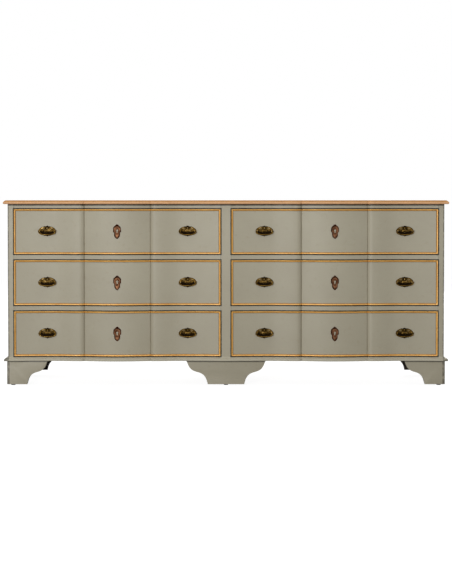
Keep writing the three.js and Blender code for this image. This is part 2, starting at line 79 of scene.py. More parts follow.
crossbow = {
    "Bank Centre": bankCentre,
    "Bulge": 27 * mm,
    "Crease": 5 * mm,
    "Crest": 13 * mm,
    "End": 13 * mm,
    "Half Bulge": 148.5 * mm,
    "Roll": 18 * mm,
    "Fall": 122 * mm,
    "Groove": 2.6 * mm,
    "Groove Half": 2.4 * mm,
}
crossbow["Lobe"] = halfOpening - crossbow["Half Bulge"]
hollowY = faceForward + crossbow["Bulge"]


# Node helpers


# Value on its way through a node tree, so that a sum of sockets is written as a sum
class Wire:
    def __init__(self, socket):
        self.socket = socket

    def __add__(self, other):
        return maths("ADD", self, other)

    def __sub__(self, other):
        return maths("SUBTRACT", self, other)

    def __rsub__(self, other):
        return maths("SUBTRACT", other, self)

    def __mul__(self, other):
        return maths("MULTIPLY", self, other)

    def __truediv__(self, other):
        return maths("DIVIDE", self, other)

    def __rtruediv__(self, other):
        return maths("DIVIDE", other, self)

    def __pow__(self, other):
        return maths("POWER", self, other)

    def __abs__(self):
        return maths("ABSOLUTE", self)

    def ranged(self, low, high, toLow=0.0, toHigh=1.0):
        given = {"Value": self, "From Min": low, "From Max": high, "To Min": toLow, "To Max": toHigh}
        return wired(self.socket.id_data, "ShaderNodeMapRange", given)


def maths(operation, *values, clamp=False):
    tree = next(value.socket.id_data for value in values if isinstance(value, Wire))
    made = node(tree, "ShaderNodeMath", operation=operation, use_clamp=clamp)
    for socket, value in zip(made.inputs, values):
        feed(socket, value)
    return Wire(made.outputs[0])


def vectorMaths(tree, operation, first, second, output=0):
    made = node(tree, "ShaderNodeVectorMath", operation=operation)
    feed(made.inputs[0], first)
    feed(made.inputs[1], second)
    return Wire(made.outputs[output])


# Share of one length in another, held between zero and one
def shareOf(part, whole):
    return maths("DIVIDE", part, whole, clamp=True)


# Sum of values, each with its share
def weighed(shares, *values):
    total = values[0] * shares[0]
    for value, share in zip(values[1:], shares[1:]):
        total = total + value * share
    return total


def greatest(first, *others):
    for other in others:
        first = maths("MAXIMUM", first, other)
    return first


def feed(socket, value):
    if isinstance(value, Wire):
        socket.id_data.links.new(value.socket, socket)
    else:
        socket.default_value = value


def node(tree, kind, given=None, **settings):
    made = tree.nodes.new(kind)
    for label, value in settings.items():
        setattr(made, label, value)
    for label, value in (given or {}).items():
        feed(made.inputs[label], value)
    return made


# Node of which only one output is used
def wired(tree, kind, given=None, output=0, **settings):
    return Wire(node(tree, kind, given, **settings).outputs[output])


def wiresOf(sockets):
    return {socket.name: Wire(socket) for socket in sockets}


def partsOf(tree, vector):
    return wiresOf(node(tree, "ShaderNodeSeparateXYZ", {"Vector": vector}).outputs)


def mixed(tree, share, first, second):
    made = node(tree, "ShaderNodeMix", data_type="RGBA")
    for number, value in ((0, share), (6, first), (7, second)):
        feed(made.inputs[number], value)
    return Wire(made.outputs[2])


def newTree(name, kind, inputs, outputs):
    tree = bpy.data.node_groups.new(name, kind)
    for label, (socket, value) in inputs.items():
        made = tree.interface.new_socket(label, in_out="INPUT", socket_type="NodeSocket" + socket)
        if value is not None:
            made.default_value = value
    for label, socket in outputs.items():
        tree.interface.new_socket(label, in_out="OUTPUT", socket_type="NodeSocket" + socket)
    given = tree.nodes.new("NodeGroupInput").outputs
    return tree, wiresOf(given[:-1]), tree.nodes.new("NodeGroupOutput").inputs


def placeGroup(tree, group, given):
    return wiresOf(node(tree, "ShaderNodeGroup", given, node_tree=group).outputs)


# Geometry trees


# Ends a geometry tree: instances made real and the finish set
def finished(tree, geometry, given, out):
    real = wired(tree, "GeometryNodeRealizeInstances", {"Geometry": geometry})
    painted = wired(tree, "GeometryNodeSetMaterial", {"Geometry": real, "Material": given["Finish"]})
    feed(out["Geometry"], painted)
    return tree


# Value that a mesh carries on its points
def stored(tree, name, kind):
    return wired(tree, "GeometryNodeInputNamedAttribute", {"Name": name}, "Attribute", data_type=kind)


def crossbowTree():
    lengths = {label: ("Float", value) for label, value in crossbow.items()}
    inputs = {"Geometry": ("Geometry", None), **lengths, "Finish": ("Material", None)}
    tree, given, out = newTree("crossbowBend", "GeometryNodeTree", inputs, {"Geometry": "Geometry"})
    across = partsOf(tree, wired(tree, "GeometryNodeInputPosition"))["X"]
    run = abs(abs(across) - given["Bank Centre"])
    pastBulge = run - given["Half Bulge"]
    pastRoll = pastBulge - given["Roll"]
    pastFall = pastRoll - given["Fall"]
    bulgeShare = shareOf(run, given["Half Bulge"])
    rollShare = shareOf(pastBulge, given["Roll"])
    fallShare = shareOf(pastRoll, given["Fall"])
    endShare = shareOf(pastFall, given["Lobe"] - given["Roll"] - given["Fall"])
    bulge = given["Bulge"] - (given["Bulge"] - given["Crease"]) * bulgeShare ** 2
    roll = (given["Crest"] - given["Crease"]) * maths("SINE", rollShare * (math.pi / 2))
    fall = given["Crest"] * (1.0 - maths("COSINE", fallShare * math.pi)) / 2.0
    end = given["End"] * endShare ** 2
    groove = given["Groove"] * (1.0 - shareOf(abs(pastBulge), given["Groove Half"]))
    rise = bulge + roll - fall + end - groove
    follow = stored(tree, "follow", "FLOAT")
    offset = wired(tree, "ShaderNodeCombineXYZ", {"Y": rise * follow * -1.0})
    bent = wired(tree, "GeometryNodeSetPosition", {"Geometry": given["Geometry"], "Offset": offset})
    return finished(tree, bent, given, out)


# One fixing on each point of a mesh, turned as the point's "turn" says, with a random spin of its own
def fixingTree():
    inputs = {
        "Geometry": ("Geometry", None),
        "Fixing": ("Object", None),
        "Size": ("Float", 1.0),
        "Spin": ("Float", math.pi),
        "Seed": ("Int", 4),
        "Finish": ("Material", None),
    }
    tree, given, out = newTree("scatterFixings", "GeometryNodeTree", inputs, {"Geometry": "Geometry"})
    turn = stored(tree, "turn", "FLOAT_VECTOR")
    chance = node(tree, "FunctionNodeRandomValue", {"Seed": given["Seed"]}, data_type="FLOAT")
    feed(chance.inputs[3], given["Spin"])
    about = {"Axis": (0, 0, 1), "Angle": Wire(chance.outputs[1])}
    spin = wired(tree, "FunctionNodeAxisAngleToRotation", about)
    both = {"Rotation": turn, "Rotate By": spin}
    spun = wired(tree, "FunctionNodeRotateRotation", both, rotation_space="LOCAL")
    shape = wired(tree, "GeometryNodeObjectInfo", {"Object": given["Fixing"]}, "Geometry")
    each = wired(tree, "GeometryNodeInstanceOnPoints", {
        "Points": given["Geometry"],
        "Instance": shape,
        "Rotation": spun,
        "Scale": given["Size"],
    })
    return finished(tree, each, given, out)


bendTree = crossbowTree()
scatterTree = fixingTree()


def runTree(piece, tree, values):
    modifier = piece.modifiers.new(tree.name, "NODES")
    modifier.node_group = tree
    sockets = [item for item in tree.interface.items_tree if item.in_out == "INPUT"]
    identifiers = {item.name: item.identifier for item in sockets}
    for label, value in values.items():
        modifier[identifiers[label]] = value
    graph = bpy.context.evaluated_depsgraph_get()
    shaped = piece.evaluated_get(graph)
    result = bpy.data.meshes.new_from_object(shaped, preserve_all_data_layers=True, depsgraph=graph)
    piece.modifiers.clear()
    piece.data = result


# Shader groups shared by several finishes


def noise(tree, vector, scale, detail, roughness, **given):
    settings = {"noise_dimensions": "4D"} if "W" in given else {}
    values = {"Vector": vector, "Scale": scale, "Detail": detail, "Roughness": roughness, **given}
    return wired(tree, "ShaderNodeTexNoise", values, **settings)


toneMarks = {
    # detail and roughness of both noises, how much finer the second is, and where both are cut
    "wide": (3.0, 0.55),
    "fine": (4.0, 0.6),
    "finer": 9.0,
    "cut": (0.3, 0.7),
}


# Slow change of tone over a surface, as hand work and age leave it
def toneGroup():
    inputs = {"Vector": ("Vector", None), "Size": ("Float", 0.1), "Seed": ("Float", 0.0)}
    tree, given, out = newTree("handTone", "ShaderNodeTree", inputs, {"Tone": "Float", "Fine": "Float"})
    scale = 1.0 / given["Size"]
    wide = noise(tree, given["Vector"], scale, *toneMarks["wide"], W=given["Seed"])
    fine = noise(tree, given["Vector"], scale * toneMarks["finer"], *toneMarks["fine"], W=given["Seed"])
    feed(out["Tone"], wide.ranged(*toneMarks["cut"]))
    feed(out["Fine"], fine.ranged(*toneMarks["cut"]))
    return tree


edgeMarks = {
    "samples": 6,
    # likeness of the normals from no wear to full wear
    "likeness": (0.995, 0.86),
    "patch": (5.0, 0.62),
    "patchCut": (0.38, 0.62),
}


# Mask of the worn convex edges: where a rounded normal departs from the true one
def edgeGroup():
    inputs = {"Vector": ("Vector", None), "Reach": ("Float", 2 * mm), "Patch Size": ("Float", 0.03)}
    tree, given, out = newTree("edgeWear", "ShaderNodeTree", inputs, {"Mask": "Float"})
    rounded = wired(tree, "ShaderNodeBevel", {"Radius": given["Reach"]}, samples=edgeMarks["samples"])
    plain = wired(tree, "ShaderNodeNewGeometry", output="Normal")
    edge = vectorMaths(tree, "DOT_PRODUCT", rounded, plain, "Value").ranged(*edgeMarks["likeness"])
    patch = noise(tree, given["Vector"], 1.0 / given["Patch Size"], *edgeMarks["patch"])
    feed(out["Mask"], edge * patch.ranged(*edgeMarks["patchCut"]))
    return tree


grainMarks = {
    "drawn": (0.09, 1, 1),
    "boardShift": 7.3,
    "bandShare": 0.5,
    "bandDetail": 2.0,
    "bandDetailScale": 0.6,
    # scale, detail and roughness, and where the noise is cut
    "fibres": (420.0, 3.0, 0.6),
    "fibreCut": (0.3, 0.7),
    "pores": (900.0, 1.0, 0.5),
    "poreCut": (0.62, 0.7),
}


# Wood grain that runs along X: slow bands, fine fibres and open pores
def grainGroup():
    inputs = {
        "Vector": ("Vector", None),
        "Band Width": ("Float", 0.02),
        "Waviness": ("Float", 4.0),
        "Board": ("Float", 0.0),
    }
    outputs = {"Bands": "Float", "Fibres": "Float", "Pores": "Float"}
    tree, given, out = newTree("woodGrain", "ShaderNodeTree", inputs, outputs)
    drawn = vectorMaths(tree, "MULTIPLY", given["Vector"], grainMarks["drawn"])
    place = vectorMaths(tree, "ADD", drawn, given["Board"] * grainMarks["boardShift"])
    bands = wired(tree, "ShaderNodeTexWave", {
        "Vector": place,
        "Scale": grainMarks["bandShare"] / given["Band Width"],
        "Distortion": given["Waviness"],
        "Detail": grainMarks["bandDetail"],
        "Detail Scale": grainMarks["bandDetailScale"],
    }, "Fac", wave_type="BANDS", bands_direction="Y")
    feed(out["Bands"], bands)
    feed(out["Fibres"], noise(tree, place, *grainMarks["fibres"]).ranged(*grainMarks["fibreCut"]))
    feed(out["Pores"], noise(tree, place, *grainMarks["pores"]).ranged(*grainMarks["poreCut"]))
    return tree


# Masks of painted shade: the dark line in the gaps round the openings and the thin one at the inner foot of
# the beads
def paintedShadeGroup():
    inputs = {
        "Vector": ("Vector", None),
        "Bank": ("Float", bankCentre),
        "Half Width": ("Float", halfOpening),
        "Half Height": ("Float", openingHeight / 2),
        "Lowest": ("Float", openingBottoms[0] + openingHeight / 2),
        "Pitch": ("Float", openingBottoms[1] - openingBottoms[0]),
        "Line": ("Float", 2.8 * mm),
        "Line Out": ("Float", 0.6 * mm),
        "Softness": ("Float", 0.3 * mm),
        "Foot In": ("Float", 8.9 * mm),
        "Foot Line": ("Float", 1.3 * mm),
        "Turned": ("Float", 0.1),
        "Facing": ("Float", 0.4),
    }
    tree, given, out = newTree("openingPaintedShade", "ShaderNodeTree", inputs, {"Line": "Float", "Foot": "Float"})
    parts = partsOf(tree, given["Vector"])
    past = abs(abs(parts["X"]) - given["Bank"]) - given["Half Width"]
    rise = parts["Z"] - given["Lowest"]
    row = maths("MINIMUM", maths("ROUND", rise / given["Pitch"]), len(rowNames) - 1.0)
    row = greatest(row, 0.0)
    above = abs(rise - row * given["Pitch"]) - given["Half Height"]
    outward = greatest(past, above)
    soft = given["Softness"]
    fromGap = abs(outward - given["Line Out"])
    normal = wired(tree, "ShaderNodeTexCoord", output="Normal")
    # the painted shade lies only on what faces the front: the ends and edges of a board keep their paint
    facing = abs(partsOf(tree, normal)["Y"]).ranged(given["Turned"], given["Facing"])
    feed(out["Line"], fromGap.ranged(given["Line"] + soft, given["Line"] - soft) * facing)
    fromFoot = abs(outward + given["Foot In"])
    feed(out["Foot"], fromFoot.ranged(given["Foot Line"] + soft, given["Foot Line"] - soft))
    return tree


toneTree = toneGroup()
edgeTree = edgeGroup()
grainTree = grainGroup()
paintedShadeTree = paintedShadeGroup()


# Finishes


def tint(red, green, blue):
    def linear(value):
        share = value / 255
        return share / 12.92 if share <= 0.04045 else ((share + 0.055) / 1.055) ** 2.4
    return (linear(red), linear(green), linear(blue), 1)


def treeOf(owner):
    owner.use_nodes = True
    return owner.node_tree


def newFinish(name, **settings):
    material = bpy.data.materials.new(name)
    tree = treeOf(material)
    shader = tree.nodes["Principled BSDF"]
    for label, value in settings.items():
        shader.inputs[label.replace("_", " ")].default_value = value
    return material, tree


# Wires a finish up from its look: the colour, the roughness between two ends, and a bump over a height
def surface(material, look, colour, rough, height):
    tree = material.node_tree
    shader = tree.nodes["Principled BSDF"]
    given = {"Height": height, "Strength": look["bump"], "Distance": look["depth"]}
    feed(shader.inputs["Base Color"], colour)
    feed(shader.inputs["Roughness"], rough.ranged(0.0, 1.0, *look["rough"]))
    feed(shader.inputs["Normal"], wired(tree, "ShaderNodeBump", given))
    return material


def objectPlace(tree, turn=(0, 0, 0)):
    place = wired(tree, "ShaderNodeTexCoord", output="Object")
    return wired(tree, "ShaderNodeMapping", {"Vector": place, "Rotation": turn})


def handTone(tree, place, look, seed=0.0):
    given = {"Vector": place, "Size": look["toneSize"], "Seed": look.get("seed", seed)}
    return placeGroup(tree, toneTree, given)


def edgeMask(tree, place, look):
    given = {"Vector": place, "Reach": look["edgeReach"], "Patch Size": look["edgePatch"]}
    return placeGroup(tree, edgeTree, given)["Mask"]


def woodGrain(tree, place, look, board=0.0):
    given = {"Vector": place, "Band Width": look["band"], "Waviness": look["wave"], "Board": board}
    return placeGroup(tree, grainTree, given)


def paintedWood():
    look = {
        "light": tint(171, 165, 145),
        "dark": tint(164, 157, 138),
        "undercoat": tint(138, 122, 94),
        # colour of the painted shade in the gaps and under the overhangs
        "paintedShade": tint(20, 15, 9),
        "edge": tint(104, 92, 68),
        "toneSize": 160 * mm,
        "seed": 1.0,
        "streakSize": 6 * mm,
        "streakDrawn": (0.06, 1, 1),
        "streak": (4.0, 0.6),
        "streakCut": (0.3, 0.7),
        "figure": (0.75, 0.25),
        # fine tone at which the undercoat starts to show and is at its most, and how much then
        "undercoatAt": (0.7, 1.0, 0.0, 0.14),
        # painted shade: paint darker towards the floor, standing in for light that falls off towards the
        # bottom
        "low": tint(126, 117, 98),
        "floorShadeShare": 0.22,
        "floorShadeFrom": 0.8,
        # painted highlight: the base moulding painted paler, standing in for the sheen of light on its ogee
        "mouldingSheen": tint(196, 191, 172),
        "mouldingSheenShare": 0.45,
        "wear": 0.6,
        "edgeReach": 2.2 * mm,
        "edgePatch": 30 * mm,
        # painted shade: dark lines under the top's overhang, under the case on the feet and at the case's
        # sides
        "topShadeLine": 6.4 * mm,
        "footShadeLine": 5 * mm,
        "footSoft": 2 * mm,
        "sideShadeLine": 5 * mm,
        "sideShadeShare": 0.62,
        "caseShadeShare": 0.75,
        "beadFootShadeShare": 0.3,
        "lineSoft": 1 * mm,
        "lineFade": (0.0, 1.0, 0.8, 1.0),
        "sideFade": (0.0, 0.5),
        "rough": (0.42, 0.56),
        "bump": 0.1,
        "depth": 0.3 * mm,
    }
    material, tree = newFinish("paintedWood", Specular_IOR_Level=0.3)
    place = objectPlace(tree)
    tone = handTone(tree, place, look)
    fine = tone["Fine"]
    drawn = wired(tree, "ShaderNodeMapping", {"Vector": place, "Scale": look["streakDrawn"]})
    streak = noise(tree, drawn, 1 / look["streakSize"], *look["streak"]).ranged(*look["streakCut"])
    ground = mixed(tree, weighed(look["figure"], tone["Tone"], streak), look["dark"], look["light"])
    parts = partsOf(tree, place)
    height = parts["Z"]
    # painted shade: the paint darkens towards the floor
    low = height.ranged(caseTop * look["floorShadeFrom"], 0.0, 0.0, look["floorShadeShare"])
    ground = mixed(tree, low, ground, look["low"])
    ground = mixed(tree, fine.ranged(*look["undercoatAt"]), ground, look["undercoat"])
    belowCase = maths("LESS_THAN", height, caseBottom)
    # painted highlight: paler paint on the base moulding for the sheen of light on it
    moulding = (1.0 - belowCase) * maths("LESS_THAN", height, mouldingTop)
    ground = mixed(tree, moulding * look["mouldingSheenShare"], ground, look["mouldingSheen"])
    ground = mixed(tree, edgeMask(tree, place, look) * look["wear"], ground, look["edge"])
    # painted shade: dark lines in the gaps round the openings, under the top, under the base moulding on the
    # feet, at the case's sides and at the beads' inner foot
    line = placeGroup(tree, paintedShadeTree, {"Vector": place})
    topShadeLine, footShadeLine = caseTop - look["topShadeLine"], caseBottom - look["footShadeLine"]
    shadeUnderTop = height.ranged(topShadeLine - look["lineSoft"], topShadeLine)
    shadeUnderCase = height.ranged(footShadeLine - look["footSoft"], footShadeLine) * belowCase
    sideShadeLine = caseHalf - look["sideShadeLine"]
    inFront = maths("LESS_THAN", parts["Y"], hollowY - look["sideShadeLine"])
    sideShade = abs(parts["X"]).ranged(sideShadeLine - look["lineSoft"], sideShadeLine, 0.0, look["sideShadeShare"])
    sideShade = sideShade * inFront * fine.ranged(*look["sideFade"])
    shadeUnderCase, shadeAtBeadFoot = shadeUnderCase * look["caseShadeShare"], line["Foot"] * look["beadFootShadeShare"]
    dark = greatest(line["Line"], shadeUnderTop, shadeUnderCase, sideShade, shadeAtBeadFoot)
    dark = dark * fine.ranged(*look["lineFade"])
    return surface(material, look, mixed(tree, dark, ground, look["paintedShade"]), streak, streak)


def giltBead():
    look = {
        "gold": tint(244, 188, 102),
        "shade": tint(226, 164, 80),
        "rubbed": tint(160, 106, 56),
        # colour of the painted shade at the bead's inner foot
        "foot": tint(104, 68, 38),
        # colour of the painted shade in the gap outside the bead
        "paintedShade": tint(20, 14, 8),
        "toneSize": 50 * mm,
        "seed": 5.0,
        "rubbedAt": (0.6, 1.0, 0.0, 0.5),
        "footShadeShare": 0.85,
        "rough": (0.36, 0.52),
        "bump": 0.2,
        "depth": 0.2 * mm,
    }
    material, tree = newFinish("giltBead", Metallic=0.15, Specular_IOR_Level=0.4)
    place = objectPlace(tree)
    tone = handTone(tree, place, look)
    fine = tone["Fine"]
    leaf = mixed(tree, tone["Tone"], look["shade"], look["gold"])
    leaf = mixed(tree, fine.ranged(*look["rubbedAt"]), leaf, look["rubbed"])
    # painted shade: dark at the bead's inner foot and in the gap outside it
    line = placeGroup(tree, paintedShadeTree, {"Vector": place})
    leaf = mixed(tree, line["Foot"] * look["footShadeShare"], leaf, look["foot"])
    return surface(material, look, mixed(tree, line["Line"], leaf, look["paintedShade"]), fine, fine)


def oakTop():
    look = {
        "light": tint(205, 150, 90),
        "dark": tint(172, 116, 59),
        "pore": tint(120, 76, 42),
        # painted highlight: the nose painted paler, standing in for the light on its upright face
        "nose": tint(227, 179, 134),
        "noseSheenShare": 0.75,
        "noseSheenTop": 11 * mm,
        "noseSheenSoft": 2.5 * mm,
        "staveWidth": 92 * mm,
        "band": 16 * mm,
        "wave": 5.0,
        "figure": (0.45, 0.35, 0.2),
        "poreShare": 0.5,
        "rough": (0.52, 0.66),
        "bump": 0.15,
        "depth": 0.2 * mm,
    }
    material, tree = newFinish("oakTop", Specular_IOR_Level=0.3)
    place = objectPlace(tree)
    parts = partsOf(tree, place)
    stave = maths("FLOOR", parts["Y"] / look["staveWidth"])
    chance = wired(tree, "ShaderNodeTexWhiteNoise", {"W": stave}, "Value", noise_dimensions="1D")
    grain = woodGrain(tree, place, look, chance)
    fibres, pores = grain["Fibres"], grain["Pores"]
    share = weighed(look["figure"], grain["Bands"], fibres, chance)
    wood = mixed(tree, share, look["light"], look["dark"])
    # painted highlight on the nose
    noseSheenTop = caseTop + look["noseSheenTop"]
    nose = parts["Z"].ranged(noseSheenTop, noseSheenTop - look["noseSheenSoft"], 0.0, look["noseSheenShare"])
    wood = mixed(tree, nose, wood, look["nose"])
    wood = mixed(tree, pores * look["poreShare"], wood, look["pore"])
    return surface(material, look, wood, fibres, fibres - pores)


# Unpainted wood inside the case; the turn lays its grain along the board
def innerWood(name, turn):
    look = {
        "light": tint(208, 178, 136),
        "dark": tint(178, 142, 98),
        "pore": tint(134, 98, 62),
        "band": 11 * mm,
        "wave": 6.0,
        "figure": (0.5, 0.3, 0.2),
        "poreShare": 0.35,
        "toneSize": 300 * mm,
        "rough": (0.58, 0.74),
        "bump": 0.2,
        "depth": 0.2 * mm,
    }
    material, tree = newFinish(name, Specular_IOR_Level=0.25)
    place = objectPlace(tree, turn)
    board = wired(tree, "ShaderNodeAttribute", output="Fac", attribute_name="board")
    grain = woodGrain(tree, place, look, board)
    tone = handTone(tree, place, look, board)
    share = weighed(look["figure"], grain["Bands"], grain["Fibres"], tone["Tone"])
    wood = mixed(tree, share, look["light"], look["dark"])
    wood = mixed(tree, grain["Pores"] * look["poreShare"], wood, look["pore"])
    return surface(material, look, wood, grain["Fibres"], grain["Fibres"])


def darkWood():
    look = {
        "light": tint(52, 42, 33),
        "dark": tint(24, 18, 14),
        "rubbed": tint(96, 74, 52),
        "band": 10 * mm,
        "wave": 3.0,
        "figure": (0.4, 0.6),
        "rub": 0.4,
        "edgeReach": 1.5 * mm,
        "edgePatch": 20 * mm,
        "rough": (0.5, 0.7),
        "bump": 0.2,
        "depth": 0.2 * mm,
    }
    material, tree = newFinish("darkWood", Specular_IOR_Level=0.25)
    place = objectPlace(tree)
    grain = woodGrain(tree, place, look)
    share = weighed(look["figure"], grain["Bands"], grain["Fibres"])
    wood = mixed(tree, share, look["light"], look["dark"])
    wood = mixed(tree, edgeMask(tree, place, look) * look["rub"], wood, look["rubbed"])
    return surface(material, look, wood, grain["Fibres"], grain["Fibres"])


# Cast metal with dark patina in its recesses, rubbed bright on what stands proud; on the handle plates the
# points also carry painted highlights, reflections and shade
def agedMetal(name, look):
    material, tree = newFinish(name, Metallic=1.0)
    place = objectPlace(tree)
    patinaAndLight = wired(tree, "ShaderNodeAttribute", output="Fac", attribute_name="patinaAndLight")
    tone = handTone(tree, place, look)
    uneven = patinaAndLight + tone["Tone"].ranged(0.0, 1.0, -look["uneven"], look["uneven"])
    raised = uneven.ranged(*look["raised"])
    metal = mixed(tree, raised, look["recess"], look["field"])
    bright = greatest(edgeMask(tree, place, look), uneven.ranged(*look["rubbed"]))
    metal = mixed(tree, bright * look["rub"], metal, look["bright"])
    return surface(material, look, metal, raised, tone["Fine"])


# Even stuff with a slow change between two tones
def plainStuff(name, look, **settings):
    material, tree = newFinish(name, **settings)
    tone = handTone(tree, objectPlace(tree), look)
    colour = mixed(tree, tone["Tone"], look["dark"], look["light"])
    return surface(material, look, colour, tone["Fine"], tone["Fine"])


castLook = {
    "toneSize": 12 * mm,
    "edgeReach": 0.9 * mm,
    "edgePatch": 6 * mm,
    # reach of the patina's tone, and the relief at which metal stands proud and is rubbed
    "uneven": 0.22,
    "raised": (0.15, 0.85),
    "rubbed": (0.8, 1.1),
    "bump": 0.25,
    "depth": 0.15 * mm,
}
brassLook = {
    **castLook,
    "recess": tint(22, 14, 6),
    "field": tint(116, 89, 39),
    "bright": tint(196, 170, 122),
    "rub": 0.75,
    "rough": (0.62, 0.32),
    "seed": 8.0,
}
copperLook = {
    **castLook,
    "recess": tint(44, 22, 12),
    "field": tint(113, 79, 56),
    "bright": tint(172, 134, 108),
    "rub": 0.6,
    "rough": (0.62, 0.4),
    "seed": 11.0,
}
plainLook = {"bump": 0.2, "depth": 0.15 * mm}
steelLook = {
    **plainLook,
    "light": tint(156, 152, 144),
    "dark": tint(120, 116, 108),
    "toneSize": 8 * mm,
    "seed": 3.0,
    "rough": (0.3, 0.5),
}
padLook = {
    **plainLook,
    "light": tint(78, 75, 68),
    "dark": tint(52, 50, 46),
    "toneSize": 10 * mm,
    "seed": 2.0,
    "rough": (0.5, 0.7),
}
finishes = {
    "paint": (paintedWood(), "painted_wood"),
    "oak": (oakTop(), "oak_top"),
    "gilt": (giltBead(), "gilt_bead"),
    "woodX": (innerWood("innerWoodAcross", (0, 0, 0)), "inner_wood"),
    "woodY": (innerWood("innerWoodDeep", (0, 0, math.pi / 2)), "inner_wood"),
    "woodZ": (innerWood("innerWoodUpright", (0, math.pi / 2, 0)), "inner_wood"),
    "dark": (darkWood(), "dark_wood"),
    "brass": (agedMetal("antiqueBrass", brassLook), "antique_brass"),
    "copper": (agedMetal("antiqueCopper", copperLook), "antique_copper"),
    "steel": (plainStuff("steelFasteners", steelLook, Metallic=1.0), "steel_fasteners"),
    "pad": (plainStuff("glidePad", padLook, Specular_IOR_Level=0.3), "glide_pad"),
}
print("finishes made:", len(finishes))


# Mesh helpers: a shape is (points, faces), and a point's fourth number is kept as an attribute


def steps(low, high, count):
    return [low + (high - low) * number / count for number in range(count + 1)]


def circle(count):
    return steps(0, math.tau, count)[:-1]


def inMillimetres(points):
    return [tuple(number * mm for number in point) for point in points]


# Fills a mesh with the faces of a bmesh, all turned outwards
def filled(mesh, work):
    bmesh.ops.recalc_face_normals(work, faces=work.faces)
    work.to_mesh(mesh)
    work.free()
    return mesh


def meshOf(*shapes, tag="follow"):
    points, faces, tags = [], [], []
    for shapePoints, shapeFaces in shapes:
        start = len(points)
        points += [point[:3] for point in shapePoints]
        tags += [point[3] if len(point) > 3 else 0.0 for point in shapePoints]
        faces += [[start + corner for corner in face] for face in shapeFaces]
    mesh = bpy.data.meshes.new("shape")
    mesh.from_pydata(points, [], faces)
    mesh.attributes.new(tag, "FLOAT", "POINT").data.foreach_set("value", tags)
    work = bmesh.new()
    work.from_mesh(mesh)
    return filled(mesh, work)


# Rings joined into a skin; a strip cap joins the first half of a ring to its second half
def loft(rings, loop=False, strip=False):
    count = len(rings[0])
    points = [point for ring in rings for point in ring]
    faces = []
    for row in range(len(rings) if loop else len(rings) - 1):
        near, far = row * count, (row + 1) % len(rings) * count
        for i in range(count):
            j = (i + 1) % count
            faces.append([near + i, near + j, far + j, far + i])
    for start in [] if loop else [0, (len(rings) - 1) * count]:
        if strip:
            last = start + count - 1
            faces += [[start + i, start + i + 1, last - i - 1, last - i] for i in range(count // 2 - 1)]
        else:
            faces.append([start + i for i in range(count)])
    return points, faces


# Turned shape from (radius, along) points that start and end on the axis
def lathe(profile, sides, placed=lambda *point: point):
    points = [placed(0, 0, profile[0][1])]
    for radius, along in profile[1:-1]:
        points += [placed(radius * math.cos(turn), radius * math.sin(turn), along) for turn in circle(sides)]
    points.append(placed(0, 0, profile[-1][1]))
    last = len(points) - 1
    faces = []
    for i in range(sides):
        j = (i + 1) % sides
        faces.append([0, 1 + j, 1 + i])
        faces.append([last, last - sides + i, last - sides + j])
        for row in range(len(profile) - 3):
            near, far = 1 + row * sides, 1 + (row + 1) * sides
            faces.append([near + i, near + j, far + j, far + i])
    return points, faces


# Smooth open line through points, with the given steps between two of them
def smoothLine(points, count):
    line = []
    for number in range(len(points) - 1):
        a, b, c, d = (Vector(points[max(0, min(len(points) - 1, number + k))]) for k in (-1, 0, 1, 2))
        for share in steps(0, 1, count)[:-1]:
            curve = 2 * b + (c - a) * share + (2 * a - 5 * b + 4 * c - d) * share ** 2
            line.append((curve + (3 * b - 3 * c + d - a) * share ** 3) / 2)
    return [*line, Vector(points[-1])]


easedEdge = {"segments": 2, "profile": 0.6, "affect": "EDGES"}
sawnAngle = math.radians(28)  # turn from which an edge of a sawn board is eased
grainStep = 0.37  # how far the grain of one board lies from that of the next


# Boards with eased edges; each gets its own number for its grain
def boardMesh(boards, edge):
    work = bmesh.new()
    layer = work.verts.layers.float.new("board")
    for number, spans in enumerate(boards):
        for vert in bmesh.ops.create_cube(work, size=1)["verts"]:
            vert.co = [low + (high - low) * (share + 0.5) for (low, high), share in zip(spans, vert.co)]
            vert[layer] = number * grainStep
    bmesh.ops.bevel(work, geom=work.edges[:], offset=edge, **easedEdge)
    return filled(bpy.data.meshes.new("boards"), work)


# Sawn board between two outlines with equal counts, its sharp edges eased
def sawnMesh(front, back, edge):
    work = bmesh.new()
    near = [work.verts.new(point) for point in front]
    far = [work.verts.new(point) for point in back]
    work.faces.new(near)
    work.faces.new(reversed(far))
    for i in range(len(front)):
        j = (i + 1) % len(front)
        work.faces.new([near[j], near[i], far[i], far[j]])
    bmesh.ops.recalc_face_normals(work, faces=work.faces)
    sharp = [line for line in work.edges if line.calc_face_angle(0) > sawnAngle]
    bmesh.ops.bevel(work, geom=sharp, offset=edge, clamp_overlap=True, **easedEdge)
    return filled(bpy.data.meshes.new("sawn"), work)


def addObject(name, data):
    made = bpy.data.objects.new(name, data)
    bpy.context.scene.collection.objects.link(made)
    return made


# Smooths a piece and states its body and the CAD nodes that it replaces
def stated(piece, slot, body, nodes, sharpAngle=32):
    piece.data.shade_smooth()
    piece.data.set_sharp_from_angle(angle=math.radians(sharpAngle))
    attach(piece, body)
    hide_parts(*nodes)
    return piece


# Makes a mesh a finished piece, bent to the crossbow line with the given share of its grooves
def addPiece(name, mesh, finish, body, *nodes, bend=None, **settings):
    material, slot = finishes[finish]
    piece = addObject(name, mesh)
    mesh.materials.append(material)
    if bend:
        runTree(piece, bendTree, {**crossbow, "Groove": bend * crossbow["Groove"], "Finish": material})
    return stated(piece, slot, body, nodes, **settings)


def addCarcasePiece(name, finish, cadNode, *shapes, **settings):
    addPiece(name, meshOf(*shapes), finish, "carcase", cadNode, **settings)


boardAngle = 18  # degrees from which an edge of a board stays sharp


def addBoards(name, finish, cadNode, boards, edge=0.8 * mm, body="carcase"):
    addPiece(name, boardMesh(boards, edge), finish, body, cadNode, sharpAngle=boardAngle)


